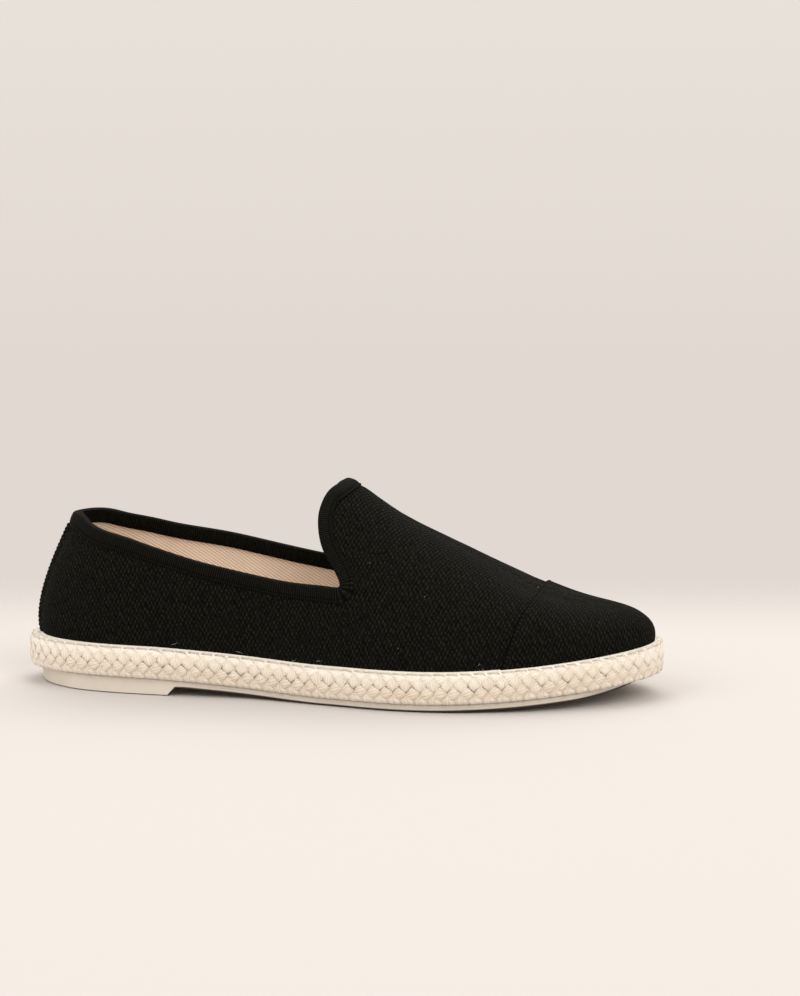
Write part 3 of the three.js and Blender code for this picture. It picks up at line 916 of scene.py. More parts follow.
def build(name, points, faces, material, cloth=None, replaces=(), shade=None):
    """A smooth piece from its points, welded where they meet.

    Its UV map holds places on the cloth, and shade a number at each point that its finish reads.
    """
    mesh = bpy.data.meshes.new(name)
    mesh.from_pydata([tuple(p) for p in points], [], [tuple(f) for f in faces])
    if cloth is not None:
        layer = mesh.uv_layers.new(name="cloth")
        corner = np.empty(len(mesh.loops), int)
        mesh.loops.foreach_get("vertex_index", corner)
        layer.data.foreach_set("uv", np.asarray(cloth, np.float32)[corner].ravel())
    if shade is not None:
        layer = mesh.attributes.new("shade", "FLOAT", "POINT")
        layer.data.foreach_set("value", shade.astype(np.float32))
    shape = bmesh.new()
    shape.from_mesh(mesh)
    bmesh.ops.remove_doubles(shape, verts=shape.verts, dist=WELD)
    shape.to_mesh(mesh)
    shape.free()
    mesh.polygons.foreach_set("use_smooth", np.ones(len(mesh.polygons), bool))
    mesh.materials.append(material)
    piece = bpy.data.objects.new(name, mesh)
    bpy.context.scene.collection.objects.link(piece)
    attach(piece, BODY)
    if replaces:
        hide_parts(*replaces)
    return piece


class Finish:
    """A material under construction, with short ways to add and join its nodes."""

    def __init__(self, name, roughness, sheen=0.0):
        self.material = bpy.data.materials.new(name)
        self.material.use_nodes = True
        self.tree = self.material.node_tree
        self.surface = self.tree.nodes["Principled BSDF"]
        self.surface.inputs["Roughness"].default_value = roughness
        self.surface.inputs["Specular IOR Level"].default_value = 0.3
        self.surface.inputs["Sheen Weight"].default_value = sheen
        self.surface.inputs["Sheen Roughness"].default_value = 0.6

    def add(self, kind, joins=(), **settings):
        """A node with its settings, its inputs joined or set."""
        made = self.tree.nodes.new(kind)
        for key, value in settings.items():
            setattr(made, key, value)
        for socket, value in joins:
            self.join(made.inputs[socket], value)
        return made

    def join(self, socket, value):
        if isinstance(value, bpy.types.NodeSocket):
            self.tree.links.new(value, socket)
        else:
            socket.default_value = value

    def sum(self, operation, *values, clamp=False):
        made = self.add("ShaderNodeMath", list(enumerate(values)), operation=operation, use_clamp=clamp)
        return made.outputs[0]

    def noise(self, vector, scale, detail=3.0, roughness=0.5):
        joins = [("Vector", vector), ("Scale", scale), ("Detail", detail), ("Roughness", roughness)]
        return self.add("ShaderNodeTexNoise", joins).outputs["Fac"]

    def cloth(self):
        """Places along and across the cloth, in metres."""
        place = self.add("ShaderNodeUVMap", uv_map="cloth").outputs[0]
        parts = self.add("ShaderNodeSeparateXYZ", [("Vector", place)]).outputs
        return place, parts[0], parts[1]

    def local(self):
        return self.add("ShaderNodeTexCoord").outputs["Object"]

    def mix(self, share, low, high):
        made = self.add("ShaderNodeMix", data_type="RGBA")
        self.join(made.inputs["Factor"], share)
        self.join(made.inputs["A"], low if isinstance(low, bpy.types.NodeSocket) else (*low, 1.0))
        self.join(made.inputs["B"], high if isinstance(high, bpy.types.NodeSocket) else (*high, 1.0))
        return made.outputs["Result"]

    def wave(self, value):
        """A sine that crosses zero at every whole number."""
        return self.sum("SINE", self.sum("MULTIPLY", value, math.pi))

    def painted(self):
        """The shade held at each point of the mesh."""
        return self.add("ShaderNodeAttribute", attribute_name="shade").outputs["Fac"]

    def spread(self, value, low, high):
        """A value taken from low and high to 0 and 1."""
        joins = [("Value", value), ("From Min", low), ("From Max", high)]
        return self.add("ShaderNodeMapRange", joins, clamp=True).outputs[0]

    def paint(self, value):
        self.join(self.surface.inputs["Base Color"], value)

    def emboss(self, height, distance, strength=1.0):
        joins = [("Height", height), ("Distance", distance), ("Strength", strength)]
        self.join(self.surface.inputs["Normal"], self.add("ShaderNodeBump", joins).outputs[0])


def once(name):
    """A material made earlier, so that pieces of one finish share it."""
    return bpy.data.materials.get(name)


def canvas_finish():
    if once("black_canvas"):
        return once("black_canvas")
    t, c = trim(), colours()
    f = Finish("black_canvas", 0.8)
    f.surface.inputs["Specular IOR Level"].default_value = 0.035
    place, along, across = f.cloth()
    wander = f.noise(place, 230.0, 3.0)
    drift = f.sum("MULTIPLY", f.sum("SUBTRACT", wander, 0.5), 1.9)
    warp = f.wave(f.sum("ADD", f.sum("DIVIDE", along, t.weave_along), drift))
    weft = f.wave(f.sum("ADD", f.sum("DIVIDE", across, t.weave_across), drift))
    knot = f.spread(f.sum("MULTIPLY", warp, weft), -0.55, 0.9)
    fibre = f.noise(place, 2600.0, 2.0)
    height = f.sum("ADD", knot, f.sum("MULTIPLY", fibre, 0.35))
    patch = f.spread(f.noise(f.local(), 700.0, 2.0), 0.3, 0.7)
    # Painted highlight on the knots of the weave and painted shade in its hollows, with random fibre and
    # patches.
    dots = f.sum("POWER", knot, 2.0)
    threads = f.sum("MULTIPLY_ADD", fibre, 0.5, dots)
    light = f.sum("MULTIPLY", threads, f.sum("MULTIPLY_ADD", patch, 0.8, 0.25))
    # Darker along the toe cap's turned edge, painted shadow, and lighter on its lip, painted highlight.
    light = f.sum("MULTIPLY", light, f.sum("SUBTRACT", 1.0, f.painted()))
    f.paint(f.mix(light, tuple(c.canvas), tuple(c.canvas_thread)))
    f.emboss(height, 0.0006, 1.0)
    return f.material


def tape_finish():
    if once("ribbed_tape"):
        return once("ribbed_tape")
    t, c = trim(), colours()
    f = Finish("ribbed_tape", 0.7)
    f.surface.inputs["Specular IOR Level"].default_value = 0.04
    place, along, across = f.cloth()
    rib = f.sum("ABSOLUTE", f.wave(f.sum("DIVIDE", along, t.tape_rib)))
    wander = f.spread(f.noise(place, 500.0, 2.0), 0.3, 0.7)
    # Rib crests painted lighter and their hollows darker, painted highlight and shade, from one tape
    # colour.
    light = f.sum("MULTIPLY", f.sum("POWER", rib, 2.0), f.sum("ADD", 0.6, f.sum("MULTIPLY", wander, 0.6)))
    seam = f.sum("ABSOLUTE", f.sum("SUBTRACT", across, t.tape_seam))
    light = f.sum("MULTIPLY", light, f.spread(seam, 0.0, 0.0004))
    dark = [v * 0.12 for v in c.tape]
    bright = [v * 1.8 for v in c.tape]
    f.paint(f.mix(light, dark, bright))
    f.emboss(rib, 0.0003, 1.0)
    return f.material


def twill_finish():
    if once("beige_twill"):
        return once("beige_twill")
    t, c = trim(), colours()
    f = Finish("beige_twill", 0.9, 0.1)
    place, along, across = f.cloth()
    slope = f.sum("ADD", along, f.sum("MULTIPLY", across, 1.2))
    rib = f.sum("SINE", f.sum("MULTIPLY", f.sum("DIVIDE", slope, t.twill), 2 * math.pi))
    cross = f.sum("DIVIDE", f.sum("SUBTRACT", across, along), t.twill)
    knot = f.sum("SINE", f.sum("MULTIPLY", cross, 2.2 * math.pi))
    rib = f.sum("MULTIPLY_ADD", rib, 0.36, f.sum("MULTIPLY_ADD", knot, 0.14, 0.5))
    patch = f.noise(place, 90.0, 3.0)
    # Lighter rib crests and darker hollows, painted highlight and shade of the twill, with random patches.
    dark = [v * 0.58 for v in c.lining]
    bright = [min(1.0, v * 1.12) for v in c.lining]
    light = f.sum("MULTIPLY_ADD", f.spread(rib, 0.1, 0.75), 0.75, f.sum("MULTIPLY", patch, 0.35))
    f.paint(f.mix(light, dark, bright))
    f.emboss(rib, 0.0002, 0.6)
    return f.material


def plait_finish():
    if once("cotton_rope"):
        return once("cotton_rope")
    c = colours()
    f = Finish("cotton_rope", 0.92, 0.15)
    place, along, across = f.cloth()
    twist = f.sum("ADD", across, f.sum("MULTIPLY", along, 0.35))
    run = [("X", f.sum("MULTIPLY", along, 260.0)), ("Y", f.sum("MULTIPLY", twist, 2600.0))]
    lines = f.noise(f.add("ShaderNodeCombineXYZ", run).outputs[0], 1.0, 3.0, 0.6)
    yarn = f.sum("ABSOLUTE", f.sum("SINE", f.sum("MULTIPLY", twist, math.pi / 0.00085)))
    height = f.sum("ADD", f.sum("MULTIPLY", yarn, 0.55), f.sum("MULTIPLY", lines, 0.6))
    patch = f.spread(f.noise(f.local(), 110.0, 3.0), 0.3, 0.7)
    streaks = f.spread(lines, 0.36, 0.64)
    yarns = f.sum("MULTIPLY", f.sum("MULTIPLY", yarn, patch), 0.2)
    threads = f.sum("ADD", f.sum("MULTIPLY", streaks, 0.3), yarns)
    # Painted light and shade held at each point, with lighter streaks and yarns, picks the rope's colour.
    light = f.sum("ADD", f.sum("MULTIPLY", f.painted(), 0.5), threads, clamp=True)
    f.paint(f.mix(light, tuple(c.plait), tuple(c.plait_light)))
    f.emboss(height, 0.0003, 1.0)
    return f.material


def core_finish():
    if once("rope_shadow"):
        return once("rope_shadow")
    c = colours()
    f = Finish("rope_shadow", 0.95)
    patch = f.noise(f.local(), 700.0, 3.0)
    light = f.mix(patch, [v * 0.85 for v in c.plait_light], tuple(c.plait_light))
    # From the painted shade between the strands up to the rope's light colour.
    f.paint(f.mix(f.painted(), [v * dim for v, dim in zip(c.plait, CORE_GAP_SHADE)], light))
    f.emboss(patch, 0.0004, 0.7)
    return f.material


def rubber_finish():
    if once("off_white_rubber"):
        return once("off_white_rubber")
    c = colours()
    f = Finish("off_white_rubber", 0.55)
    mottle = f.spread(f.noise(f.local(), 45.0, 4.0), 0.35, 0.75)
    grain = f.noise(f.local(), 1500.0, 2.0)
    dark = [v * 0.9 for v in c.rubber]
    # Darker towards the rubber's lower rim and underside: painted contact shadow, with some dirt.
    f.paint(f.mix(f.painted(), f.mix(mottle, tuple(c.rubber), dark), SHADE_AND_GRIME))
    f.emboss(grain, 0.0001, 0.35)
    return f.material


def fibre_finish():
    f = Finish("loose_cotton", 0.9)
    f.surface.inputs["Base Color"].default_value = (*colours().plait_light, 1.0)
    return f.material


class ESPADRILLE_OT_outsole(bpy.types.Operator):
    """Moulded outsole: a thin sheet in one piece with its heel block"""

    bl_idname = "espadrille.outsole"
    bl_label = "Build Outsole"

    def execute(self, context):
        s = sole()
        edge = SoleEdge()
        half = s.length / 2
        breast = s.heel_block + s.outsole_inset - half
        foot = breast - s.breast_slant
        turns = np.linspace(0, 1, EDGE_SAMPLES, endpoint=False)

        def under(x):
            slanted = np.interp(x, [foot, breast], [0.0, float(rise(breast))])
            return np.where(x < foot, 0.0, np.where(x < breast, slanted, rise(x)))

        def inset(ring, up):
            heel = s.heel_inset + (1 - up) * s.heel_taper
            heel = heel * (1 - smoothstep(ring[:, 0] + half, 0, HEEL_EASE))
            toe = s.toe_inset * (1 - smoothstep(half - ring[:, 0], 0, TOE_EASE))
            return s.outsole_inset + heel + toe

        def worn(x):
            return bevel * np.interp(x, [foot, breast + WORN_EASE], [WORN, 1.0])

        top = s.outsole_thickness
        bevel = s.outsole_bevel
        profile = [
            # inward, share of the height, painted shadow and dirt, height
            (4 * bevel, 0.0, 0.4, under),
            (bevel, 0.0, 1.0, under),
            (0.45 * bevel, 0.02, 1.0, lambda x: under(x) + 0.45 * worn(x)),
            (0.1 * bevel, 0.04, 0.9, lambda x: under(x) + 0.85 * worn(x)),
            (0.0, 0.05, 0.0, lambda x: under(x) + 1.1 * worn(x)),
            (0.0, 0.95, 0.0, lambda x: rise(x) + top - 0.0004),
            (0.0004, 1.0, 0.0, lambda x: rise(x) + top),
            (0.004, 1.0, 0.0, lambda x: rise(x) + top),
        ]
        bend = (1 - np.cos(np.linspace(0, math.pi, OUTSOLE_COLUMNS))) / 2
        stations = (s.length * bend - half) * 0.999
        corners = [x + near for x in (foot, breast) for near in (-CORNER, 0.0, CORNER)]
        stations = np.unique(np.concatenate([stations, corners]))
        rows = []
        for inward, up, _, height in profile:
            ring = edge.at(turns, inset(edge.at(turns), up) + inward)
            middle = len(turns) // 2
            lateral, medial = ring[: middle + 1], np.vstack([ring[middle:], ring[:1]])[::-1]
            back = (ring[0, 0] - stations[0]) * (1 - smoothstep(stations, -half, HEEL_FOLLOW - half))
            front = (ring[middle, 0] - stations[-1]) * smoothstep(stations, half - TOE_FOLLOW, half)
            x = stations + back + front
            row = []
            for side in (lateral, medial):
                y = np.interp(x, np.maximum.accumulate(side[:, 0]), side[:, 1])
                row.append(np.column_stack([x, y, height(x)]))
            rows.append(row)
        points = np.array([row[0] for row in rows[::-1]] + [row[1] for row in rows])
        count = len(stations)
        faces = grid_faces(len(points), count)
        last_row = (len(points) - 1) * count
        faces += [(last_row + c, last_row + c + 1, c + 1, c) for c in range(count - 1)]
        faces = [face[::-1] for face in faces]
        # How dark each row of the rim is: painted contact shadow, with some dirt.
        shade_and_grime = [row[2] for row in profile]
        shade_and_grime = np.repeat(shade_and_grime[::-1] + shade_and_grime, count)
        points = points.reshape(-1, 3)
        piece = build("rubber_outsole", points, faces, rubber_finish(), None, ["outsole"], shade_and_grime)
        piece.modifiers.new("crease", "EDGE_SPLIT").split_angle = math.radians(SHARP)
        return {"FINISHED"}


def plait_path(phase):
    """Height over the plait's rows, and place over or under, of a strand at a phase in pitches."""
    strands = sole().strands
    rows = strands - 2
    phase = phase % strands
    rising = phase < strands / 2
    climb = np.where(rising, 2 * phase - 1, 2 * strands - 1 - 2 * phase)
    top = hermite(rows - 0.5, rows + 0.3, 1.5, 0.0, np.clip((climb - rows + 0.5) / 1.5, 0, 1))
    level = np.where(climb > rows - 0.5, top, climb)
    weave = np.cos(math.pi * (climb - rows))
    weave = np.where(rising, weave, -weave)
    folding = np.cos(math.pi / 2 * np.where(climb > rows, climb - rows, -climb))
    edge = np.where(climb > rows, np.where(rising, folding, -folding), np.where(rising, -folding, folding))
    out = np.where((climb > rows) | (climb < 0), edge, weave)
    over_top = np.clip((climb - rows + 0.4) / 1.4, 0, 1)
    under_foot = np.clip((-0.6 - climb) / 0.4, 0, 1)
    turn = (over_top - under_foot) * math.pi / 2
    turn = np.where(rising == (climb > rows / 2), turn, math.pi - turn)
    return level, out, turn, np.maximum(over_top, np.clip((-0.2 - climb) / 0.8, 0, 1))


class ESPADRILLE_OT_plait(bpy.types.Operator):
    """Plaited side of the sole: flat strands woven over and under, round a core"""

    bl_idname = "espadrille.plait"
    bl_label = "Build Plait"

    def execute(self, context):
        s = sole()
        edge = SoleEdge()
        girth = edge.travel[-1]
        pitches = s.strands * round(girth / s.strand_pitch / s.strands)
        thick, wide = s.strand_thickness / 2, s.strand_width / 2
        sway = thick * 0.6
        row_height = (s.plait_height - 2 * thick) / (s.strands - 2 + 0.6)
        steps, around = 14, 10
        side = np.array(PLAIT_SIDE)
        random = np.random.default_rng(PLAIT_SEED)
        points, cloth, shade, faces = [], [], [], []
        for strand in range(s.strands):
            phase = np.arange(pitches * steps) / steps
            wobble = sum(
                random.uniform(0.3, 1) * np.sin(2 * math.pi * phase / pitches * k + random.uniform(0, 6.3))
                for k in random.integers(20, 160, 6)
            ) / 6
            level, out, turn, edging = plait_path(phase)
            height = thick + row_height * (level + 0.3) + wobble * WAVER_UP
            sunk = np.interp(height / s.plait_height, side[:, 0], side[:, 1]) * s.plait_height
            turns = edge.turn_at((phase + strand + wobble * WAVER_ALONG) * girth / pitches)
            base, inward = edge.frame(turns)
            tucked = (wide * 0.85 - thick) * edging**1.3
            base = base + inward * (thick + sway + sunk - sway * out * (1 - edging) + tucked)[:, None]
            centre = np.column_stack([base, plait_bottom(base[:, 0]) + height])
            outward = np.column_stack([-inward, np.zeros(len(phase))])
            ahead = unit(np.roll(centre, -1, 0) - np.roll(centre, 1, 0))
            face = outward * np.cos(turn)[:, None] + np.array([0, 0, 1.0]) * np.sin(turn)[:, None]
            across = unit(np.cross(ahead, face))
            face = np.cross(across, ahead)
            width = wide * (1 - 0.12 * edging) * (1 + wobble * WAVER_WIDE)
            base_index = len(points) * len(phase) * around
            ring = []
            for k in range(around):
                a = 2 * math.pi * k / around
                flat = math.copysign(abs(math.cos(a)) ** 0.7, math.cos(a))
                crown = math.copysign(abs(math.sin(a)) ** 0.6, math.sin(a))
                ring.append(centre + across * (width * flat)[:, None] + face * (thick * crown))
            tube = np.array(ring).transpose(1, 0, 2).reshape(-1, 3)
            under = np.minimum(tube[:, 2] - plait_bottom(tube[:, 0]), 0)
            over = np.maximum(tube[:, 2] - plait_bottom(tube[:, 0]) - s.plait_height, 0)
            tube[:, 2] -= (under + over) * PRESSED
            points.append(tube)
            travel = travelled(centre)
            for r in range(len(phase)):
                for k in range(around):
                    cloth.append((travel[r] + strand, k / around * 2.6 * s.strand_width))
            top = np.clip(level / (s.strands - 2), 0, 1)
            # Painted light where the strand stands out and at heel and toe, painted shade where it passes
            # under.
            light = LIGHT_BASE + PAINTED_LIGHT_OUT * out + LIGHT_TOP * top**2
            light = light + PAINTED_LIGHT_ENDS * np.abs(2 * base[:, 0] / s.length) ** 8
            shade.append(np.repeat(np.clip(light, 0, 1.3), around))
            count = len(phase)
            for r in range(count):
                q = (r + 1) % count
                for k in range(around):
                    m = (k + 1) % around
                    quad = (q * around + k, q * around + m, r * around + m, r * around + k)
                    faces.append(tuple(base_index + v for v in quad))
        points, shade = np.vstack(points), np.concatenate(shade)
        build("rope_plait", points, faces, plait_finish(), cloth, ["jute_sole"], shade)
        self.core(edge, CORE_DEPTH * thick, s)
        return {"FINISHED"}

    def core(self, edge, depth, s):
        turns = np.arange(RING_STEPS) / RING_STEPS
        side = [(CORE_INSIDE, 0.0, 1.0)] + [(depth + beyond, up, light) for beyond, up, light in CORE_SIDE]
        seam_foot = (CAP_SEAM[1][0] - 0.5) * s.length
        under_cap = smoothstep(edge.at(turns)[:, 0], seam_foot - WELT_STEP, seam_foot)
        spread = (trim().gap + trim().cap_thickness) * under_cap
        rings, ledge = [], []
        for outline, profile, out in ((edge.at, side, 0.0), (edge.feather, WELT, spread)):
            for inset, up, light in profile:
                flat = outline(turns, inset - out)
                rings.append(np.column_stack([flat, plait_bottom(flat[:, 0]) + up * s.plait_height]))
                # How light each row is: painted shade where the core shows between the strands.
                ledge.append(np.full(len(turns), light))
        faces = grid_faces(len(rings), len(turns), closed=True)
        shade = np.concatenate(ledge)
        build("rope_core", np.vstack(rings), faces, core_finish(), shade=shade)


class ESPADRILLE_OT_insole(bpy.types.Operator):
    """Insole: a twill-covered board inside the upper"""

    bl_idname = "espadrille.insole"
    bl_label = "Build Insole"

    def execute(self, context):
        s, u, t = sole(), upper(), trim()
        edge = SoleEdge()
        turns = np.arange(RING_STEPS) / RING_STEPS
        inset = u.wall + t.gap
        rings = []
        for inward, up in INSOLE_EDGE:
            flat = edge.feather(turns, inset + inward)
            rings.append(np.column_stack([flat, feather_height(flat[:, 0]) + up * s.insole_thickness]))
        points = np.vstack(rings)
        faces = grid_faces(len(rings), len(turns), closed=True)
        base = (len(rings) - 1) * len(turns)
        left, right = 0, len(turns) - 1
        while right - left > 1:
            faces.append((base + left, base + left + 1, base + right))
            left += 1
            if right - left > 1:
                faces.append((base + left, base + right - 1, base + right))
                right -= 1
        build("insole_sock", points, faces, twill_finish(), points[:, :2], ["insole"])
        return {"FINISHED"}


class ESPADRILLE_OT_canvas(bpy.types.Operator):
    """Canvas upper and the twill lining inside it"""

    bl_idname = "espadrille.canvas"
    bl_label = "Build Canvas"

    def execute(self, context):
        last, line = Last(), collar_line()

        def below(points):
            return -line.above(points)[0]

        points, cloth, faces = skin(last, 0.0, below)
        build("canvas_upper", points, faces, canvas_finish(), cloth, ["upper"])
        points, cloth, faces = skin(last, -upper().wall, below)
        build("twill_lining", points, [f[::-1] for f in faces], twill_finish(), cloth)
        return {"FINISHED"}


class ESPADRILLE_OT_toe_cap(bpy.types.Operator):
    """Toe cap: a second layer of canvas with a turned edge"""

    bl_idname = "espadrille.toe_cap"
    bl_label = "Build Toe Cap"

    def execute(self, context):
        t = trim()
        last, line = Last(), cap_line()
        outer = t.gap + t.cap_thickness

        def ahead(points):
            return line.above(points)[0] - CAP_TURNED

        points, cloth, faces = skin(last, outer, ahead)
        places = contour(last, line, CAP_SAMPLES)
        profile = [(share * outer, above) for share, above, _ in CAP_EDGE]
        rows = strip(last, line, places, profile)
        travel = travelled(rows[0])
        flat = np.array([np.column_stack([travel, np.full(len(travel), above)]) for _, above in profile])
        base = len(points)
        edge_faces = [tuple(i + base for i in face) for face in grid_faces(len(rows), rows.shape[1])]
        points = np.vstack([points, rows.reshape(-1, 3)])
        cloth = np.vstack([cloth, flat.reshape(-1, 2)])
        # Painted shadow along the turned edge and painted highlight on its lip.
        edge_shade = np.repeat([row[2] for row in CAP_EDGE], rows.shape[1])
        shade = np.concatenate([np.zeros(base), edge_shade])
        faces += edge_faces
        build("canvas_toe_cap", points, faces, canvas_finish(), cloth, ["toe_cap"], shade)
        return {"FINISHED"}


class ESPADRILLE_OT_heel_strip(bpy.types.Operator):
    """Strip of canvas up the back of the heel"""

    bl_idname = "espadrille.heel_strip"
    bl_label = "Build Heel Strip"

    def execute(self, context):
        t = trim()
        last, line = Last(), collar_line()
        outer = t.gap + t.strip_thickness
        middle = last.edge.at([0.0])[0, 1]
        half = t.strip_width / 2
        edge = np.array([0.0, 0.02, 0.06, 0.12])
        across = np.concatenate([edge, np.linspace(0.16, 1.84, 52), 2 - edge[::-1]]) * half - half
        climbs = self.climbs(last, line, middle + across, outer)
        rows = []
        for k in range(STRIP_STEPS + 1):
            climb = climbs * k / STRIP_STEPS
            places = np.stack([self.turns(last, climb, middle + across, outer), climb], 1)
            bare = last.at(places, 0.0)
            out = unit(last.at(places, outer) - bare)
            lift = outer * smoothstep(half - np.abs(across), 0, t.strip_width * 0.3)
            weave = np.sin(math.pi * across / t.weave_along)
            weave *= np.sin(math.pi * bare[:, 2] / t.weave_across)
            fringe = t.strip_thickness * FRAY * np.maximum(weave, 0)
            rows.append(bare + out * (lift + fringe)[:, None])
        points = np.array(rows)
        cloth = points[..., 1:].reshape(-1, 2)
        faces = [f[::-1] for f in grid_faces(STRIP_STEPS + 1, len(across))]
        points = points.reshape(-1, 3)
        build("canvas_heel_strip", points, faces, canvas_finish(), cloth, ["heel_strip"])
        return {"FINISHED"}

    def turns(self, last, climb, across, offset):
        """Turns at which the last lies that far across, near the back of the heel."""
        low, high = np.full(len(climb), -STRIP_TURNS), np.full(len(climb), STRIP_TURNS)
        for _ in range(TURN_HALVINGS):
            middle = (low + high) / 2
            left = last.at(np.stack([middle, climb], 1), offset)[:, 1] > across
            low, high = np.where(left, middle, low), np.where(left, high, middle)
        return (low + high) / 2

    def climbs(self, last, line, across, offset):
        """Climbs at which the strip reaches the tape."""
        t = trim()
        low, high = np.zeros(len(across)), np.full(len(across), STRIP_CLIMB)
        for _ in range(CLIMB_HALVINGS):
            middle = (low + high) / 2
            points = last.at(np.stack([self.turns(last, middle, across, offset), middle], 1), offset)
            under = line.above(points)[0] < t.gap + 0.0006 - t.tape_width + t.tape_thickness
            low, high = np.where(under, middle, low), np.where(under, high, middle)
        return (low + high) / 2


class ESPADRILLE_OT_tape(bpy.types.Operator):
    """Ribbed tape folded over the edge of the opening"""

    bl_idname = "espadrille.tape"
    bl_label = "Build Tape"

    def execute(self, context):
        t, u = trim(), upper()
        last, line = Last(), collar_line()
        clear = t.gap + t.tape_thickness
        low = clear - t.tape_width
        inner = -u.wall - clear
        middle = -u.wall / 2
        reach = clear - middle
        profile = [(0.0001, low)] + [(share * clear, low + above) for share, above in TAPE_LEAF]
        profile.append((clear, -0.0006))
        for k in range(1, 12):
            a = math.pi * k / 12
            round_edge = math.copysign(abs(math.cos(a)) ** 0.7, math.cos(a))
            profile.append((middle + reach * round_edge, clear * math.sin(a) ** 0.8))
        profile += [(inner, -0.0006), (inner, low + 0.003), (inner, low - 0.0002)]
        profile.append((-u.wall - 0.0001, low - 0.0006))
        start = contour(last, line, TAPE_SAMPLES)
        places = settle(last, line, start, profile[0][0], profile[0][1])
        rows = strip(last, line, places, profile)
        travel = travelled(rows[TAPE_EDGE_ROW])
        across = travelled(rows[:, TAPE_MIDDLE])
        cloth = np.array([np.column_stack([travel, np.full(len(travel), a)]) for a in across])
        faces = [face[::-1] for face in grid_faces(len(rows), rows.shape[1])]
        points, cloth = rows.reshape(-1, 3), cloth.reshape(-1, 2)
        build("collar_tape", points, faces, tape_finish(), cloth, ["collar_binding"])
        return {"FINISHED"}


class ESPADRILLE_OT_fibres(bpy.types.Operator):
    """Loose fibres: fuzz along the top of the plait and lint on the canvas"""

    bl_idname = "espadrille.fibres"
    bl_label = "Build Loose Fibres"

    def execute(self, context):
        random = np.random.default_rng(FIBRE_SEED)
        s, edge = sole(), SoleEdge()
        side_up, side_in = np.array(PLAIT_SIDE).T
        hairs = []
        for travel in random.uniform(0, edge.travel[-1], FUZZ_COUNT):
            turn = edge.turn_at(travel)
            base, inward = edge.frame([turn])
            ahead = np.array([inward[0, 1], -inward[0, 0], 0.0])
            out = -np.append(inward[0], 0.0)
            ends = abs(base[0, 0]) / (s.length / 2)
            up = random.choice(FUZZ_UP, p=FUZZ_SHARES)
            inset = np.interp(up, side_up, side_in) * s.plait_height
            inset += random.uniform(0.0, FUZZ_INWARD) if up > 0.95 else 0.0
            start_z = plait_bottom(base[0, 0]) + up * s.plait_height
            start = np.append(base[0] + inward[0] * (inset + 0.0004), start_z)
            reach = random.uniform(*FUZZ_LENGTH) * (0.7 + 0.6 * ends**4)
            way = ahead * random.uniform(-1.6, 1.6) + out * random.uniform(0.1, 0.7)
            way = unit(way + (0, 0, random.uniform(0.1, 0.8)))
            curl = ahead * random.uniform(-0.5, 0.5) - np.array([0, 0, random.uniform(0, 0.5)])
            hairs.append((start, way, curl, reach))
        for x, side, up, reach, slant in LOOSE_FIBRES:
            start, way, out = self.on_canvas(x / s.length + 0.5, up, side)
            way = unit(way * math.cos(slant) + np.array([0, 0, math.sin(slant)]) + out * 0.15)
            hairs.append((start + out * 0.0002, way, out * -0.2, reach))
        points, faces = [], []
        for k, (start, way, curl, reach) in enumerate(hairs):
            thick = HAIR_RADIUS if k < FUZZ_COUNT else LINT_RADIUS
            self.hair(points, faces, start, way, curl, reach, thick)
        build("loose_fibres", np.array(points), faces, fibre_finish())
        return {"FINISHED"}

    def on_canvas(self, along, up, side):
        """A point on the cloth at a height above the plait, with the ways ahead and out there."""
        last = Last()
        half = LAST_COLUMNS // 2
        columns = np.arange(half + 1) if side < 0 else np.arange(half, LAST_COLUMNS)
        x = (along - 0.5) * sole().length
        column = columns[np.argmin(np.abs(last.points[columns, 6, 0] - x))]
        row = int(np.argmin(np.abs(last.points[column, :, 2] - last.points[column, 0, 2] - up)))
        ahead = unit(last.points[(column + 1) % LAST_COLUMNS, row] - last.points[column, row]) * -side
        return last.points[column, row], ahead, last.out[column, row]

    def hair(self, points, faces, start, way, curl, reach, thick):
        """A thin three-sided hair with a bend, from its start along its way."""
        side = unit(np.cross(way, (0.3, 0.5, 0.81)))
        lift = np.cross(side, way)
        base = len(points)
        steps = 4
        for k in range(steps + 1):
            share = k / steps
            centre = start + reach * (way * share + curl * share**2)
            radius = thick * (1 - 0.6 * share)
            for turn in (0.0, 2.1, 4.2):
                points.append(centre + radius * (side * math.cos(turn) + lift * math.sin(turn)))
        for k in range(steps):
            low = base + 3 * k
            faces.extend((low + j, low + (j + 1) % 3, low + 3 + (j + 1) % 3, low + 3 + j) for j in range(3))


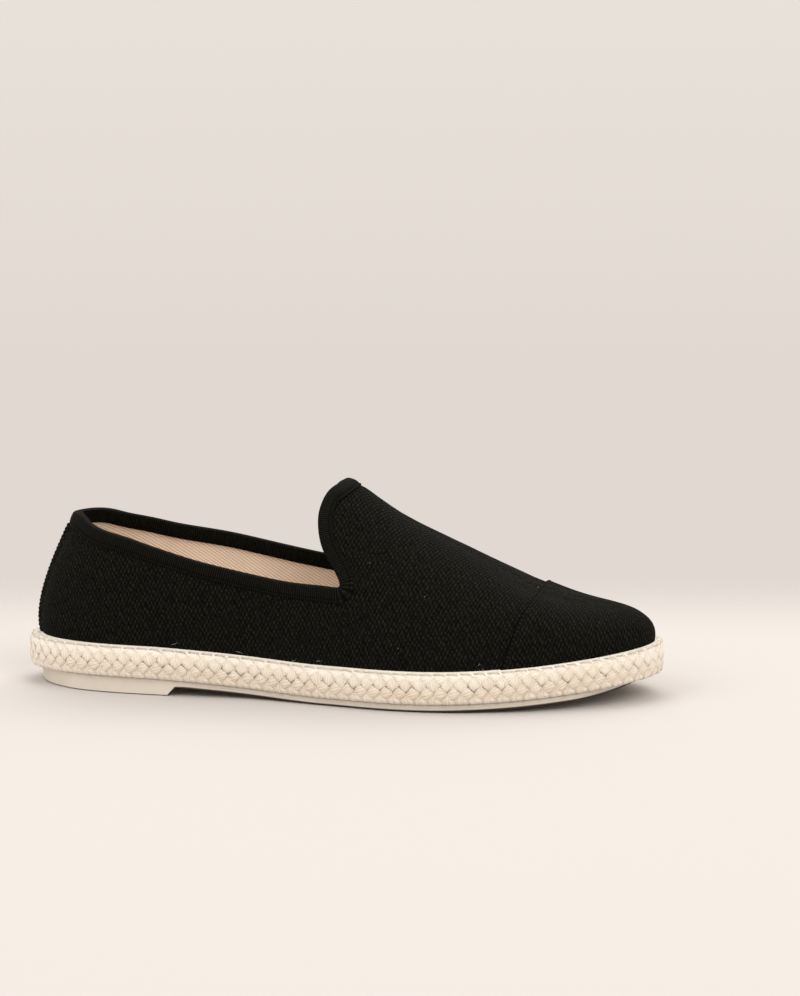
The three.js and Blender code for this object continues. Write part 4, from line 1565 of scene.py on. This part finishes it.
class ESPADRILLE_OT_stage(bpy.types.Operator):
    """Pale floor, soft lights and the camera"""

    bl_idname = "espadrille.stage"
    bl_label = "Set Stage"

    def execute(self, context):
        g = context.scene.espadrille_stage
        self.floor(g)
        self.surroundings(context.scene, g)
        for softbox in SOFTBOXES:
            self.light(*softbox)
        self.camera(context.scene, g)
        return {"FINISHED"}

    def floor(self, g):
        mesh = bpy.data.meshes.new("floor")
        r = g.floor_size
        mesh.from_pydata([(-r, -r, 0), (r, -r, 0), (r, r, 0), (-r, r, 0)], [], [(0, 1, 2, 3)])
        f = Finish("pale_floor", 0.8)
        f.surface.inputs["Specular IOR Level"].default_value = 0.0
        f.surface.inputs["Base Color"].default_value = (*g.floor, 1.0)
        parts = f.add("ShaderNodeSeparateXYZ", [("Vector", f.local())]).outputs
        behind = f.sum("ADD", *(f.sum("MULTIPLY", part, share) for part, share in zip(parts, FACING)))
        away = f.add("ShaderNodeVectorMath", [(0, f.local())], operation="LENGTH").outputs["Value"]
        ramps = []
        for value, low, high in ((behind, *FADE_BEHIND), (away, FADE_ROUND[0], r * FADE_ROUND[1])):
            joins = [("Value", value), ("From Min", low), ("From Max", high)]
            ramps.append(f.add("ShaderNodeMapRange", joins, interpolation_type="SMOOTHSTEP").outputs[0])
        fade = f.sum("MAXIMUM", *ramps)
        clear = f.add("ShaderNodeBsdfTransparent").outputs[0]
        both = f.add("ShaderNodeMixShader", [(0, fade), (1, f.surface.outputs[0]), (2, clear)])
        f.tree.links.new(both.outputs[0], f.tree.nodes["Material Output"].inputs["Surface"])
        mesh.materials.append(f.material)
        floor = bpy.data.objects.new("floor", mesh)
        bpy.context.scene.collection.objects.link(floor)

    def surroundings(self, scene, g):
        world = bpy.data.worlds.new("pale_surroundings")
        world.use_nodes = True
        nodes, links = world.node_tree.nodes, world.node_tree.links
        parts = nodes.new("ShaderNodeSeparateXYZ")
        links.new(nodes.new("ShaderNodeTexCoord").outputs["Generated"], parts.inputs[0])
        height = nodes.new("ShaderNodeMapRange")
        height.inputs["From Min"].default_value = BACKDROP_BLEND[0]
        height.inputs["From Max"].default_value = BACKDROP_BLEND[1]
        links.new(parts.outputs[2], height.inputs["Value"])
        blend = nodes.new("ShaderNodeMix")
        blend.data_type = "RGBA"
        blend.inputs["A"].default_value = (*g.surroundings, 1.0)
        blend.inputs["B"].default_value = (*g.sky, 1.0)
        links.new(height.outputs[0], blend.inputs["Factor"])
        links.new(blend.outputs["Result"], nodes["Background"].inputs["Color"])
        scene.world = world
        scene.view_settings.view_transform = "Standard"

    def light(self, name, place, size, power):
        data = bpy.data.lights.new(name, "AREA")
        data.size = size
        data.energy = power
        data.color = LIGHT_TINT
        lamp = bpy.data.objects.new(name, data)
        lamp.location = place
        aim = Vector(LIGHT_TARGET) - Vector(place)
        lamp.rotation_euler = aim.to_track_quat("-Z", "Y").to_euler()
        bpy.context.scene.collection.objects.link(lamp)

    def camera(self, scene, g):
        data = bpy.data.cameras.new("camera")
        data.lens = g.lens
        data.sensor_width = SENSOR_WIDTH
        camera = bpy.data.objects.new("camera", data)
        camera.location = CAMERA_PLACE
        camera.rotation_euler = Vector(CAMERA_AIM).to_track_quat("-Z", "Y").to_euler()
        scene.collection.objects.link(camera)
        scene.camera = camera


class ESPADRILLE_PT_panel(bpy.types.Panel):
    """Builds each piece of the espadrille"""

    bl_label = "Espadrille"
    bl_idname = "ESPADRILLE_PT_panel"
    bl_space_type = "VIEW_3D"
    bl_region_type = "UI"
    bl_category = "Espadrille"

    def draw(self, context):
        for operator in OPERATORS:
            self.layout.operator(operator.bl_idname)


GROUPS = {
    "espadrille_sole": EspadrilleSole,
    "espadrille_upper": EspadrilleUpper,
    "espadrille_trim": EspadrilleTrim,
    "espadrille_colours": EspadrilleColours,
    "espadrille_stage": EspadrilleStage,
}
OPERATORS = (
    ESPADRILLE_OT_stage,
    ESPADRILLE_OT_outsole,
    ESPADRILLE_OT_plait,
    ESPADRILLE_OT_insole,
    ESPADRILLE_OT_canvas,
    ESPADRILLE_OT_toe_cap,
    ESPADRILLE_OT_heel_strip,
    ESPADRILLE_OT_tape,
    ESPADRILLE_OT_fibres,
)


def register():
    for group in GROUPS.values():
        bpy.utils.register_class(group)
    for operator in OPERATORS:
        bpy.utils.register_class(operator)
    bpy.utils.register_class(ESPADRILLE_PT_panel)
    for name, group in GROUPS.items():
        setattr(bpy.types.Scene, name, PointerProperty(type=group))


def unregister():
    for name in GROUPS:
        delattr(bpy.types.Scene, name)
    bpy.utils.unregister_class(ESPADRILLE_PT_panel)
    for operator in reversed(OPERATORS):
        bpy.utils.unregister_class(operator)
    for group in reversed(GROUPS.values()):
        bpy.utils.unregister_class(group)


def main():
    register()
    bpy.ops.espadrille.stage()
    bpy.ops.espadrille.outsole()
    bpy.ops.espadrille.plait()
    bpy.ops.espadrille.insole()
    bpy.ops.espadrille.canvas()
    bpy.ops.espadrille.toe_cap()
    bpy.ops.espadrille.heel_strip()
    bpy.ops.espadrille.tape()
    bpy.ops.espadrille.fibres()


if __name__ == "__main__":
    main()
